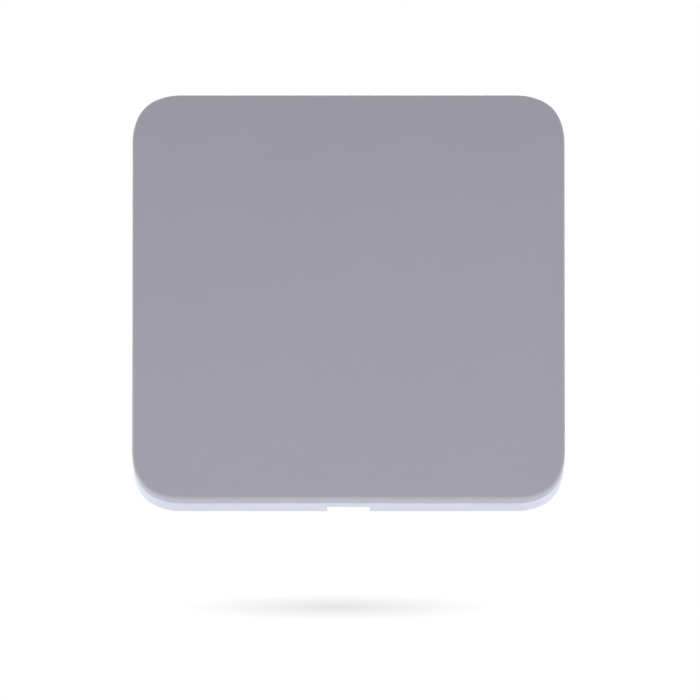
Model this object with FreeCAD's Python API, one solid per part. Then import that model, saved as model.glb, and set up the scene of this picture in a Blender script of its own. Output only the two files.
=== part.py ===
import FreeCAD, Part
import math
import os

from FreeCAD import Vector

# Wireless panic button on a wall plate. Millimetres, +Z up, +Y into the wall, the face towards -Y.
# The origin is the middle of the wall plate's rear face, which lies on the wall.

# Front face, as wide and as high as it shows from the front
FACE_WIDTH = 85.0
FACE_HEIGHT = 80.7
CORNER_REACH = 9.5           # how far from the corner each side starts to bend
CORNER_RADIUS = 7.25         # of the bend's tight middle
CORNER_LEAD_TURN = 22.5      # degrees that each gentler end of the bend turns

# Depths, counted from the wall to the front
WALL_STANDOFF = 0.7
HOUSING_SIDE = 9.0
PLATE_GAP = 0.7
PLATE_SIDE = 4.9

# Press plate
PLATE_FRONT_WALL = 1.8
PLATE_SKIRT_WALL = 1.6
PLATE_EDGE_RADIUS = 0.4
PLATE_RIB_HEIGHT = 0.8
PLATE_RIB_WIDTH = 0.9
PLATE_RIB_PITCH = 10.0
PLATE_RIB_MARGIN = 3.5
UPRIGHT_PLATE_RIBS = 3
LEVEL_PLATE_RIBS = 4

# Hinge of the press plate: pins on its ears, snapped into saddles on the housing
PLATE_HINGE_DEPTH = 1.6      # behind the plate's inner face
PLATE_EAR_CLEARANCE = 0.4    # between the ears and the housing's inner rim
PLATE_PIN_RADIUS = 0.9
PLATE_EAR_RADIUS = 1.5
PLATE_EAR_WIDTH = 2.5
SADDLE_OFFSET = 26.0
SADDLE_WIDTH = 4.0
SADDLE_HALF_HEIGHT = 2.0
SADDLE_HEADROOM = 0.4
SNAP_MOUTH_SHARE = 0.78      # mouth of a snap bearing as a share of its pin's diameter

# Stop hooks of the press plate, which catch behind the housing's deck
HOOK_OFFSET = 14.0
HOOK_WIDTH = 5.0
HOOK_THICKNESS = 1.2
HOOK_RIM_DISTANCE = 1.5      # from the rim's inner side to the hook's lower side
HOOK_CATCH = 0.8
HOOK_NOSE_DEPTH = 1.5
HOOK_WINDOW_CLEARANCE = 0.4
CATCH_CLEARANCE = 0.05

# Housing
HOUSING_INSET = 0.1
HOUSING_WALL = 1.8
HOUSING_EDGE_BREAK = 0.15
DECK_WALL = 1.5
RIM_CLEARANCE = 0.5
RIM_WALL = 1.2
RIM_HEIGHT = 2.3
NOTCH_WIDTH = 8.35
NOTCH_DEPTH = 5.0
LEDGE_WALL = 0.7
LEDGE_HEIGHT = 1.0
WALL_RIB_WIDTH = 1.0
WALL_RIB_REACH = 1.6
WALL_RIB_PITCH = 16.0
SIDE_WALL_RIBS = 3

# Board, held by two screws and two rests at its four corners
BOARD_SIDE_ROOM = 8.6        # from the housing's inner sides to the board
BOARD_TOP_ROOM = 7.45        # above it, for the hinge ears
BOARD_BOTTOM_ROOM = 8.45     # below it, for the latch
BOARD_CORNER = 1.5
BOARD_THICKNESS = 1.0
BOARD_GAP = 1.1              # from the deck to the board
SCREW_EDGE = 5.0             # from the board's edges to its screws
SCREW_RADIUS = 1.0
SCREW_LENGTH = 4.6
SCREW_HEAD_RADIUS = 1.9
SCREW_HEAD_HEIGHT = 1.2
SCREW_CLEARANCE = 0.02
SCREW_HOLE_CLEARANCE = 0.15
RECESS_WIDTH = 0.45
RECESS_REACH = 1.0
RECESS_DEPTH = 0.7
TOWER_WALL = 1.6
TOWER_CAP = 0.8
REST_SIDE = 3.5

# Press switch on the board's front side
SWITCH_SIDE = 6.0
SWITCH_BASE_HEIGHT = 3.0
SWITCH_FLOOR = 0.6
SWITCH_CAVITY_RADIUS = 2.3
SWITCH_COVER_THICKNESS = 0.3
SWITCH_FLAP_DEPTH = 0.9
SWITCH_FLAP_WIDTH = 3.0
SWITCH_STEM_RADIUS = 1.7
SWITCH_FLANGE_RADIUS = 2.15
SWITCH_FLANGE_HEIGHT = 1.0
SWITCH_TIP_HEIGHT = 4.3
STEM_CLEARANCE = 0.08
DOME_RADIUS = 2.0
DOME_HEIGHT = 0.55
DOME_WALL = 0.12
NUB_RADIUS = 0.8
LEAD_WIDTH = 0.7
LEAD_THICKNESS = 0.25
LEAD_SPACING = 4.5
LEAD_RISE = 1.2              # up the base's sides
LEAD_TAIL = 0.8
POST_RADIUS = 2.4
POST_CLEARANCE = 0.03
POST_CROWN = 0.4
SWITCH_WINDOW_CLEARANCE = 1.4

# Flats around the wire of the springs and the antenna
WIRE_FLATS = 5

# Return springs between the deck and the press plate
SPRING_SIDE_DISTANCE = 19.2  # from the rim's inner side
SPRING_RIM_DISTANCE = 9.05   # above the rim's lower inner side
SPRING_RADIUS = 2.05
SPRING_WIRE = 0.45
SPRING_TURNS = 3
SPRING_SEAT_GAP = 0.02
SPRING_CUP_CLEARANCE = 0.5
SPRING_CUP_DEPTH = 0.8
SPIGOT_CLEARANCE = 0.4
SPIGOT_HEIGHT = 1.2

# Soft pads that the pressed plate lands on
PAD_SIDE_DISTANCE = 9.2      # both counted from the rim's inner sides
PAD_RIM_DISTANCE = 5.05
PAD_SIDE = 4.0
PAD_HEIGHT = 1.6
PAD_SEAT_DEPTH = 0.5
PAD_SEAT_CLEARANCE = 0.1
PAD_GAP = 0.6
LANDING_SIDE = 3.0

# Hinge of the housing: pins on the wall plate's arms, snapped into ears under the housing's top wall
SWING_HINGE_DROP = 1.0       # below the top wall's inner side
SWING_HINGE_DEPTH = 5.0      # in front of the wall
SWING_PIN_RADIUS = 0.8
PIN_RUNNING_CLEARANCE = 0.06
PIN_OVERHANG = 0.3
EAR_SIDE_CLEARANCE = 0.3
ARM_OFFSET = 15.5
ARM_WIDTH = 3.0
ARM_ROOT_DROP = 3.6
ARM_ROOT_RISE = 1.5
ARM_ROOT_FALL = 1.9
SWING_EAR_WIDTH = 3.0
SWING_EAR_REAR = 1.9
SWING_EAR_FALL = 2.0

# Wall plate
WALL_PLATE_THICKNESS = 1.8
WALL_PLATE_CLEARANCE = 0.4
SWING_ROOM = 1.9             # from the hinge down to the wall plate's top edge
WALL_PLATE_RIB_HEIGHT = 1.0
WALL_PLATE_RIB_WIDTH = 1.2
UPRIGHT_RIB_X = -9.0
LEVEL_RIB_Z = 8.0
WALL_SCREW_SPACING = 60.0
WALL_SCREW_SLOT_WIDTH = 4.2
WALL_SCREW_SLOT_LENGTH = 7.0
WALL_SCREW_PAD_WALL = 2.6
WALL_SCREW_PAD_HEIGHT = 0.8
BATTERY_POCKET_DEPTH = 0.6
BATTERY_POCKET_CLEARANCE = 1.0

# Latch tongue
TONGUE_WIDTH = 8.0
TONGUE_SLIT = 0.5
TONGUE_LENGTH = 12.0
TONGUE_LEG = 1.2
TONGUE_LEDGE_CLEARANCE = 0.3
TONGUE_NOSE_DEPTH = 0.95
TONGUE_NOSE_CLEARANCE = 0.3
TONGUE_CATCH_CLEARANCE = 0.05

# Coin cell, its holder and contacts
CELL_RADIUS = 10.0
CELL_HEIGHT = 3.2
CELL_CAP_RADIUS = 8.6
CELL_CAP_HEIGHT = 0.35
CELL_SIDE_DISTANCE = 17.0    # both counted from the board's edges
CELL_BOTTOM_DISTANCE = 16.0
CELL_STANDOFF = 0.3
HOLDER_CLEARANCE = 0.25
HOLDER_WALL = 1.5
HOLDER_HEIGHT = 2.6
HOLDER_LIP = 0.7
HOLDER_LIP_THICKNESS = 0.45
HOLDER_LIP_WIDTH = 4.0
HOLDER_MOUTH = 11.0
CONTACT_THICKNESS = 0.15
CONTACT_WIDTH = 4.0
CONTACT_FOOT = 2.4
CONTACT_RAMP = 1.2
CONTACT_LEG = 2.8
CONTACT_BULGE = 0.8
CONTACT_TOUCH = 0.04

# Tamper switch on the board's rear side and the wall plate's post in front of it
TAMPER_SIDE_DISTANCE = 12.0  # both counted from the board's edges
TAMPER_BOTTOM_DISTANCE = 13.0
TAMPER_SIDE = 4.5
TAMPER_BASE_HEIGHT = 1.5
TAMPER_COVER_THICKNESS = 0.2
TAMPER_CAVITY_RADIUS = 1.5
TAMPER_FLOOR = 0.5
TAMPER_STEM_RADIUS = 1.0
TAMPER_FLANGE_RADIUS = 1.35
TAMPER_FLANGE_HEIGHT = 0.35
TAMPER_TRAVEL = 0.25
TAMPER_PRESSED_HEIGHT = 0.5
TAMPER_POST_RADIUS = 1.8
TAMPER_POST_CLEARANCE = 0.05

# Radio module
RADIO_SIDE_DISTANCE = 14.0   # both counted from the board's edges
RADIO_TOP_DISTANCE = 16.0
RADIO_WIDTH = 18.0
RADIO_HEIGHT = 14.0
RADIO_BOARD_THICKNESS = 0.8
SHIELD_MARGIN = 1.4
SHIELD_HEIGHT = 1.7
SHIELD_WALL = 0.2
SHIELD_EDGE_BREAK = 0.3
RADIO_CHIP_SIDE = 4.0
RADIO_CHIP_HEIGHT = 0.85
RADIO_CRYSTAL_WIDTH = 2.5
RADIO_CRYSTAL_HEIGHT = 2.0
RADIO_CRYSTAL_THICKNESS = 0.6

# Wire antenna, wound from round wire
ANTENNA_GAP = 6.0            # from the radio module to the first turn
ANTENNA_EDGE = 6.0           # from the board's top edge
ANTENNA_RADIUS = 1.2
ANTENNA_WIRE = 0.5
ANTENNA_PITCH = 1.6
ANTENNA_TURNS = 4.5
ANTENNA_LIFT = 0.2

# Small parts soldered to the board
CHIP_SIDE = 5.0
CHIP_HEIGHT = 0.9
CHIP_X = -12.0
CHIP_Z = -3.0
CRYSTAL_WIDTH = 3.2
CRYSTAL_DEPTH = 1.5
CRYSTAL_HEIGHT = 0.8
POWER_ROW_Z = 8.0            # where the coil and the block capacitor lie
COIL_X = 10.0
COIL_SIDE = 4.0
COIL_HEIGHT = 1.8
COIL_EDGE = 0.6
STORAGE_X = 17.5
STORAGE_EDGE = 0.3
STORAGE_WIDTH = 6.0
STORAGE_DEPTH = 3.2
STORAGE_HEIGHT = 2.5
CAPACITOR_SIZE = (1.6, 0.8, 0.8)
RESISTOR_SIZE = (1.6, 0.8, 0.45)
PART_PITCH = 2.4
RESISTOR_ROW_PITCH = 1.2
CAPACITOR_COUNT = 6
RESISTOR_ROWS = 4
LED_SIZE = (1.6, 0.8, 0.6)
LED_EDGE = 3.0
HEADER_SIDE_DISTANCE = 11.0  # both counted from the board's edges
HEADER_TOP_DISTANCE = 12.5
HEADER_PITCH = 1.27
HEADER_COLUMNS = 3
HEADER_BASE_HEIGHT = 1.0
HEADER_PIN = 0.4
HEADER_PIN_HEIGHT = 2.4

# Two faces this close lie in one plane
LEVEL_TOLERANCE = 1e-5

# Levels along Y that the sizes above give
RIM_LEVEL = -WALL_STANDOFF
SHOULDER_LEVEL = RIM_LEVEL - HOUSING_SIDE
SKIRT_LEVEL = SHOULDER_LEVEL - PLATE_GAP
FRONT_LEVEL = SKIRT_LEVEL - PLATE_SIDE
PLATE_INNER_LEVEL = FRONT_LEVEL + PLATE_FRONT_WALL
DECK_LEVEL = SHOULDER_LEVEL + DECK_WALL
BOARD_FRONT = DECK_LEVEL + BOARD_GAP
BOARD_REAR = BOARD_FRONT + BOARD_THICKNESS
WALL_PLATE_FRONT = -WALL_PLATE_THICKNESS

# Insets from the face's outline
HOUSING_INNER_INSET = HOUSING_INSET + HOUSING_WALL
RIM_INSET = PLATE_SKIRT_WALL + RIM_CLEARANCE
WALL_PLATE_INSET = HOUSING_INNER_INSET + WALL_PLATE_CLEARANCE

# Hinge axes, both along X, as (y, z)
RIM_INNER_TOP = FACE_HEIGHT / 2 - RIM_INSET - RIM_WALL
PLATE_HINGE = (PLATE_INNER_LEVEL + PLATE_HINGE_DEPTH, RIM_INNER_TOP - PLATE_EAR_CLEARANCE - PLATE_EAR_RADIUS)
SWING_HINGE = (-SWING_HINGE_DEPTH, FACE_HEIGHT / 2 - HOUSING_INNER_INSET - SWING_HINGE_DROP)

# Places behind the plate, counted from the rim
RIM_INNER_SIDE = FACE_WIDTH / 2 - RIM_INSET - RIM_WALL
SPRING_OFFSET_X = RIM_INNER_SIDE - SPRING_SIDE_DISTANCE
SPRING_Z = -RIM_INNER_TOP + SPRING_RIM_DISTANCE
PAD_OFFSET_X = RIM_INNER_SIDE - PAD_SIDE_DISTANCE
PAD_Z = -RIM_INNER_TOP + PAD_RIM_DISTANCE

# The board's extent inside the housing, and the places on it
BOARD_WIDTH = FACE_WIDTH - 2 * (HOUSING_INNER_INSET + BOARD_SIDE_ROOM)
BOARD_HEIGHT = FACE_HEIGHT - 2 * HOUSING_INNER_INSET - BOARD_TOP_ROOM - BOARD_BOTTOM_ROOM
BOARD_TOP = FACE_HEIGHT / 2 - HOUSING_INNER_INSET - BOARD_TOP_ROOM
BOARD_BOTTOM = BOARD_TOP - BOARD_HEIGHT
CELL_X = BOARD_WIDTH / 2 - CELL_SIDE_DISTANCE
CELL_Z = BOARD_BOTTOM + CELL_BOTTOM_DISTANCE
TAMPER_X = -BOARD_WIDTH / 2 + TAMPER_SIDE_DISTANCE
TAMPER_Z = BOARD_BOTTOM + TAMPER_BOTTOM_DISTANCE
RADIO_X = -BOARD_WIDTH / 2 + RADIO_SIDE_DISTANCE
RADIO_Z = BOARD_TOP - RADIO_TOP_DISTANCE
ANTENNA_START_X = RADIO_X + RADIO_WIDTH / 2 + ANTENNA_GAP
ANTENNA_Z = BOARD_TOP - ANTENNA_EDGE
HEADER_X = BOARD_WIDTH / 2 - HEADER_SIDE_DISTANCE
HEADER_Z = BOARD_TOP - HEADER_TOP_DISTANCE
SCREW_X = BOARD_WIDTH / 2 - SCREW_EDGE
SCREW_PLACES = [(-SCREW_X, BOARD_TOP - SCREW_EDGE), (SCREW_X, BOARD_BOTTOM + SCREW_EDGE)]
REST_PLACES = [(-SCREW_X, BOARD_BOTTOM + SCREW_EDGE), (SCREW_X, BOARD_TOP - SCREW_EDGE)]


def mix(start, end, share):
    """The point that lies the given share of the way from start to end."""
    return start + (end - start) * share


def box(x, y, z):
    """Block between the low and high values of each of its three ranges."""
    low = Vector(min(x), min(y), min(z))
    return Part.makeBox(max(x) - low.x, max(y) - low.y, max(z) - low.z, low)


def disc(radius, x, z, near, far):
    """Cylinder along Y between the levels near and far."""
    return Part.makeCylinder(radius, abs(far - near), Vector(x, min(near, far), z), Vector(0, 1, 0))


def pin(radius, hinge, x_range):
    """Cylinder along X on a hinge axis given as (y, z)."""
    low, high = sorted(x_range)
    return Part.makeCylinder(radius, high - low, Vector(low, *hinge), Vector(1, 0, 0))


def side_profile(points, x_range):
    """Outline given as (y, z) points, extruded along X."""
    low, high = sorted(x_range)
    corners = [Vector(low, y, z) for y, z in points]
    face = Part.Face(Part.makePolygon(corners + corners[:1]))
    return face.extrude(Vector(high - low, 0, 0))


def turned(profile, x, z):
    """Solid of revolution about an axis along Y: the profile holds (radius, y) points."""
    corners = [Vector(x + radius, y, z) for radius, y in profile]
    face = Part.Face(Part.makePolygon(corners + corners[:1]))
    return face.revolve(Vector(x, 0, z), Vector(0, 1, 0), 360)


def around(middle, width):
    """Range of the given width about a middle value."""
    return middle - width / 2, middle + width / 2


def mirrored_pair(span, side):
    """An X range on one side of the middle, or on the other."""
    return tuple(side * value for value in span)


def row(count, pitch):
    """Places of a row with the given count and pitch about zero."""
    return [(index - (count - 1) / 2) * pitch for index in range(count)]


def bend_edges(corner, back, onward, inset):
    """Three tangent arcs round one corner: gentle, tight, gentle.

    back and onward point from the corner along its two sides. The gentle radius is the one that
    lets the tight arc lie evenly between the sides. Drawing in by inset keeps the arcs' centres.
    """
    turn = math.radians(CORNER_LEAD_TURN)
    share = math.cos(turn) - math.sin(turn)
    lead = (CORNER_REACH - share * CORNER_RADIUS) / (1 - share) - inset
    tight = CORNER_RADIUS - inset
    reach = CORNER_REACH - inset
    start = corner + back * reach
    end = corner + onward * reach

    def on_leads(angle):
        along = lead * math.sin(angle)
        aside = lead * (1 - math.cos(angle))
        return start - back * along + onward * aside, end - onward * along + back * aside

    start_middle, end_middle = on_leads(turn / 2)
    tight_start, tight_end = on_leads(turn)
    centre_distance = reach - (lead - tight) * math.sin(turn)
    middle = corner + (back + onward) * (centre_distance - tight * math.sqrt(0.5))
    arcs = [
        Part.Arc(start, start_middle, tight_start),
        Part.Arc(tight_start, middle, tight_end),
        Part.Arc(tight_end, end_middle, end),
    ]
    return start, [arc.toShape() for arc in arcs], end


def rounded_wire(x_range, z_range, inset, level):
    """Closed wire in the plane y = level, with the face's corners drawn in by inset."""
    left, right = x_range
    low, high = z_range
    corners = [(right, low), (right, high), (left, high), (left, low)]
    turns = [((-1, 0), (0, 1)), ((0, -1), (-1, 0)), ((1, 0), (0, -1)), ((0, 1), (1, 0))]
    edges = []
    last = Vector(left + CORNER_REACH - inset, level, low)
    for (x, z), (back, onward) in zip(corners, turns):
        back_way, onward_way = Vector(back[0], 0, back[1]), Vector(onward[0], 0, onward[1])
        start, arcs, end = bend_edges(Vector(x, level, z), back_way, onward_way, inset)
        edges.append(Part.LineSegment(last, start).toShape())
        edges += arcs
        last = end
    return Part.Wire(edges)


def outline(inset, level):
    """Closed wire of the face's outline, drawn in by inset, in the plane y = level."""
    x = FACE_WIDTH / 2 - inset
    z = FACE_HEIGHT / 2 - inset
    return rounded_wire((-x, x), (-z, z), inset, level)


def slab(inset, near, far):
    """The face's outline, drawn in by inset, as a solid between two levels."""
    return Part.Face(outline(inset, near)).extrude(Vector(0, far - near, 0))


def edges_at(shape, level):
    """Edges that lie wholly in the plane y = level."""
    return [
        edge
        for edge in shape.Edges
        if max(abs(edge.BoundBox.YMin - level), abs(edge.BoundBox.YMax - level)) < LEVEL_TOLERANCE
    ]


def arc_between(start, handle, end):
    """Arc from start to end whose end tangents meet at handle."""
    middle = mix(start, end, 0.5)
    half = (end - start).Length / 2
    angle = math.atan2((handle - middle).Length, half)
    rise = (handle - middle).normalize() * (half * math.tan(angle / 2))
    return Part.Arc(start, middle + rise, end).toShape()


def biarc(start, heading_in, end, heading_out):
    """Two arcs that leave start and reach end along the given headings and meet smoothly."""
    chord = end - start
    both = heading_in + heading_out
    spread = 2 * (1 - heading_in.dot(heading_out))
    along = chord.dot(both)
    reach = (math.sqrt(along * along + spread * chord.dot(chord)) - along) / spread
    first = start + heading_in * reach
    second = end - heading_out * reach
    joint = mix(first, second, 0.5)
    return [arc_between(start, first, joint), arc_between(joint, second, end)]


def coil_edges(radius, pitch, turns, place):
    """Helix as two arcs to each half turn. place maps (across, up, along) to a point."""
    steps = round(2 * turns)
    slope = pitch / (2 * math.pi)
    length = math.hypot(radius, slope)
    origin = place(0, 0, 0)
    points = []
    headings = []
    for step in range(steps + 1):
        angle = step * math.pi
        across, up = math.cos(angle), math.sin(angle)
        points.append(place(radius * across, radius * up, slope * angle))
        heading = place(-radius * up / length, radius * across / length, slope / length) - origin
        headings.append(heading)
    edges = []
    for step in range(steps):
        edges += biarc(points[step], headings[step], points[step + 1], headings[step + 1])
    return edges, points, headings


def wire_tube(edges, start, heading, wire):
    """Wire carried along a path, with flats inside its round section."""
    ring = Part.Circle(start, heading, wire / 2).discretize(Number=WIRE_FLATS + 1)
    return Part.Wire(edges).makePipeShell([Part.makePolygon(ring)], True, False)


def coil_self_gap(name, radius, pitch, wire, turns):
    """Measures the least space between neighbouring turns on points along the wire and prints it."""
    per_turn = 48
    count = round(turns * per_turn) + 1
    points = []
    for step in range(count):
        angle = 2 * math.pi * step / per_turn
        along = pitch * step / per_turn
        points.append(Vector(radius * math.cos(angle), radius * math.sin(angle), along))
    least = min(
        (points[j] - points[i]).Length
        for i in range(count)
        for j in range(i + per_turn // 2, min(count, i + 2 * per_turn))
    )
    print(f"{name}: least gap between turns {least - wire:.2f} mm")


def snap_bearing(hinge, radius, mouth, reach, x_range):
    """Cutter for a bearing with a mouth: its round bore, and the slot that opens it towards reach."""
    y, z = hinge
    slot = box(x_range, (y, y + reach), (z - mouth / 2, z + mouth / 2))
    return pin(radius, hinge, x_range).fuse(slot)


def saddle_range():
    return around(SADDLE_OFFSET, SADDLE_WIDTH)


def hook_heights():
    """Lower and upper side of the stop hooks' legs."""
    low = -RIM_INNER_TOP + HOOK_RIM_DISTANCE
    return low, low + HOOK_THICKNESS


def press_plate():
    """Flat front plate with its skirt, hinge ears, stop hooks, switch post and stiffening ribs."""
    shell = slab(0, SKIRT_LEVEL, FRONT_LEVEL)
    shell = shell.makeFillet(PLATE_EDGE_RADIUS, edges_at(shell, FRONT_LEVEL))
    shell = shell.cut(slab(PLATE_SKIRT_WALL, SKIRT_LEVEL, PLATE_INNER_LEVEL))
    parts = plate_ribs() + [switch_post()]
    for side in (-1, 1):
        parts.append(plate_ear(side))
        parts.append(stop_hook(side))
        parts.append(spring_spigot(side))
        landing = (PLATE_INNER_LEVEL, pad_top_level() - PAD_GAP)
        parts.append(pad_block(side, LANDING_SIDE, landing))
    return shell.fuse(parts).removeSplitter()


def plate_ribs():
    """Crossed ribs on the plate's inner face, left out where ears, springs and towers stand."""
    top = PLATE_INNER_LEVEL + PLATE_RIB_HEIGHT
    levels = (PLATE_INNER_LEVEL, top)
    half_x = SPRING_OFFSET_X - SPRING_RADIUS - PLATE_RIB_MARGIN
    half_z = -SPRING_Z - SPRING_RADIUS - PLATE_RIB_MARGIN
    ribs = []
    for x in row(UPRIGHT_PLATE_RIBS, PLATE_RIB_PITCH):
        ribs.append(box(around(x, PLATE_RIB_WIDTH), levels, (-half_z, half_z)))
    for z in row(LEVEL_PLATE_RIBS, PLATE_RIB_PITCH):
        ribs.append(box((-half_x, half_x), levels, around(z, PLATE_RIB_WIDTH)))
    return ribs


def crown(radius, rise, x, z, top, towards):
    """Solid ball whose cap is rise high over a circle of the given radius, with its top at the level top."""
    ball_radius = (radius**2 + rise**2) / (2 * rise)
    return Part.makeSphere(ball_radius, Vector(x, top - towards * ball_radius, z))


def switch_post():
    """Post that presses the switch, with a crowned tip."""
    tip = BOARD_FRONT - SWITCH_TIP_HEIGHT - POST_CLEARANCE
    post = disc(POST_RADIUS, 0, 0, PLATE_INNER_LEVEL, tip)
    return post.common(crown(POST_RADIUS, POST_CROWN, 0, 0, tip, 1))


def plate_ear(side):
    """Ear behind the plate's top edge with the hinge pin on its outer side."""
    outer = saddle_range()[0] - EAR_SIDE_CLEARANCE
    span = mirrored_pair((outer - PLATE_EAR_WIDTH, outer), side)
    y, z = PLATE_HINGE
    web = box(span, (PLATE_INNER_LEVEL, y), (z - PLATE_EAR_RADIUS, z + PLATE_EAR_RADIUS))
    round_end = pin(PLATE_EAR_RADIUS, PLATE_HINGE, span)
    pin_end = saddle_range()[1] + PIN_OVERHANG
    hinge_pin = pin(PLATE_PIN_RADIUS, PLATE_HINGE, mirrored_pair((outer, pin_end), side))
    return web.fuse([round_end, hinge_pin])


def stop_hook(side):
    """Leg through the deck with a nose that catches behind it."""
    low, high = hook_heights()
    catch = DECK_LEVEL + CATCH_CLEARANCE
    nose_low = low - HOOK_WINDOW_CLEARANCE - HOOK_CATCH
    tip = catch + HOOK_NOSE_DEPTH
    points = [
        (PLATE_INNER_LEVEL, high),
        (tip, high),
        (tip, low),
        (catch + HOOK_NOSE_DEPTH / 2, nose_low),
        (catch, nose_low),
        (catch, low),
        (PLATE_INNER_LEVEL, low),
    ]
    return side_profile(points, mirrored_pair(around(HOOK_OFFSET, HOOK_WIDTH), side))


def spring_spigot(side):
    """Round stub that keeps the spring's upper end in place."""
    radius = SPRING_RADIUS - SPRING_WIRE / 2 - SPIGOT_CLEARANCE
    top = PLATE_INNER_LEVEL + SPIGOT_HEIGHT
    return disc(radius, side * SPRING_OFFSET_X, SPRING_Z, PLATE_INNER_LEVEL, top)


def spring_seat_level():
    return SHOULDER_LEVEL + SPRING_CUP_DEPTH


def return_spring(side):
    """Open coil between the bottom of the deck's cup and the plate's inner face."""
    seat = spring_seat_level() - SPRING_WIRE / 2 - SPRING_SEAT_GAP
    top = PLATE_INNER_LEVEL + SPRING_WIRE / 2 + SPRING_SEAT_GAP
    pitch = (seat - top) / SPRING_TURNS

    def place(across, up, along):
        return Vector(side * SPRING_OFFSET_X + across, seat - along, SPRING_Z + up)

    edges, points, headings = coil_edges(SPRING_RADIUS, pitch, SPRING_TURNS, place)
    coil_self_gap("return spring", SPRING_RADIUS, pitch, SPRING_WIRE, SPRING_TURNS)
    return wire_tube(edges, points[0], headings[0], SPRING_WIRE)


def pad_top_level():
    return SHOULDER_LEVEL + PAD_SEAT_DEPTH - PAD_HEIGHT


def pad_block(side, width, levels):
    """Square block at the place of one stop pad."""
    return box(around(side * PAD_OFFSET_X, width), levels, around(PAD_Z, width))


def stop_pads():
    """Two soft square pads in shallow seats of the deck."""
    levels = (SHOULDER_LEVEL + PAD_SEAT_DEPTH, pad_top_level())
    return [pad_block(side, PAD_SIDE, levels) for side in (-1, 1)]


def housing():
    """White body: side walls, deck, inner rim, towers, rests, bearings, windows and the notch."""
    shell = slab(HOUSING_INSET, RIM_LEVEL, SHOULDER_LEVEL)
    outer_edges = edges_at(shell, SHOULDER_LEVEL) + edges_at(shell, RIM_LEVEL)
    shell = shell.makeChamfer(HOUSING_EDGE_BREAK, outer_edges)
    shell = shell.cut(slab(HOUSING_INNER_INSET, RIM_LEVEL, DECK_LEVEL))
    rim_top = SHOULDER_LEVEL - RIM_HEIGHT
    rim = slab(RIM_INSET, SHOULDER_LEVEL, rim_top).cut(slab(RIM_INSET + RIM_WALL, SHOULDER_LEVEL, rim_top))
    added = [rim, latch_ledge()] + wall_ribs() + [screw_tower(x, z) for x, z in SCREW_PLACES]
    added += [board_rest(x, z) for x, z in REST_PLACES]
    cutters = [notch_cutter(), switch_window()] + [pilot_hole(x, z) for x, z in SCREW_PLACES]
    for side in (-1, 1):
        added += [saddle(side), swing_ear(side)]
        cutters += [saddle_bore(side), swing_bore(side), hook_window(side)]
        cup_radius = SPRING_RADIUS + SPRING_WIRE / 2 + SPRING_CUP_CLEARANCE
        cutters.append(
            disc(cup_radius, side * SPRING_OFFSET_X, SPRING_Z, SHOULDER_LEVEL, spring_seat_level())
        )
        seat = (SHOULDER_LEVEL, SHOULDER_LEVEL + PAD_SEAT_DEPTH)
        cutters.append(pad_block(side, PAD_SIDE + 2 * PAD_SEAT_CLEARANCE, seat))
    return shell.fuse(added).cut(cutters).removeSplitter()


def notch_cutter():
    """Slot in the bottom wall's rear edge that a screwdriver goes through."""
    wall_outer = -FACE_HEIGHT / 2
    wall_inner = wall_outer + HOUSING_INNER_INSET
    return box(around(0, NOTCH_WIDTH), (RIM_LEVEL - NOTCH_DEPTH, 0), (wall_outer, wall_inner))


def ledge_levels():
    """Rear and front side of the ledge that the latch tongue catches."""
    rear = RIM_LEVEL - NOTCH_DEPTH
    return rear, rear - LEDGE_WALL


def latch_ledge():
    """Low wall across the bottom wall's inner side, in front of the notch."""
    floor = -FACE_HEIGHT / 2 + HOUSING_INNER_INSET
    half = NOTCH_WIDTH / 2 + WALL_RIB_WIDTH
    return box((-half, half), ledge_levels(), (floor - HOUSING_WALL / 2, floor + LEDGE_HEIGHT))


def wall_ribs():
    """Short ribs that stiffen the side and bottom walls where they meet the deck."""
    half_x = FACE_WIDTH / 2 - HOUSING_INNER_INSET
    half_z = FACE_HEIGHT / 2 - HOUSING_INNER_INSET
    rear = WALL_PLATE_FRONT - WALL_PLATE_RIB_HEIGHT - WALL_PLATE_CLEARANCE
    levels = (DECK_LEVEL, rear)
    ribs = []
    for side in (-1, 1):
        span = mirrored_pair((half_x - WALL_RIB_REACH, half_x + HOUSING_WALL / 2), side)
        for z in row(SIDE_WALL_RIBS, WALL_RIB_PITCH):
            ribs.append(box(span, levels, around(z, WALL_RIB_WIDTH)))
        span = around(side * (HOOK_OFFSET + WALL_RIB_PITCH / 2), WALL_RIB_WIDTH)
        ribs.append(box(span, levels, (-half_z - HOUSING_WALL / 2, -half_z + WALL_RIB_REACH)))
    return ribs


def screw_tower(x, z):
    """Closed tower that carries the board and takes one screw."""
    radius = SCREW_RADIUS + TOWER_WALL
    top = BOARD_REAR - SCREW_LENGTH - TOWER_CAP
    return disc(radius, x, z, BOARD_FRONT, top)


def board_rest(x, z):
    """Square post on the deck that a corner of the board without a screw lies on."""
    return box(around(x, REST_SIDE), (DECK_LEVEL, BOARD_FRONT), around(z, REST_SIDE))


def pilot_hole(x, z):
    """Blind hole of a tower, a little longer than its screw."""
    end = BOARD_REAR - SCREW_LENGTH - SCREW_CLEARANCE
    return disc(SCREW_RADIUS + SCREW_CLEARANCE, x, z, BOARD_FRONT, end)


def switch_window():
    """Square window in the deck that the press switch stands in."""
    half = (SWITCH_SIDE + SWITCH_WINDOW_CLEARANCE) / 2 + LEAD_THICKNESS
    return box((-half, half), (SHOULDER_LEVEL, DECK_LEVEL), (-half, half))


def hook_window(side):
    """Window in the deck for one stop hook's leg."""
    low, high = hook_heights()
    gap = HOOK_WINDOW_CLEARANCE
    span = around(HOOK_OFFSET, HOOK_WIDTH + 2 * gap)
    return box(mirrored_pair(span, side), (SHOULDER_LEVEL, DECK_LEVEL), (low - gap, high + gap))


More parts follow.
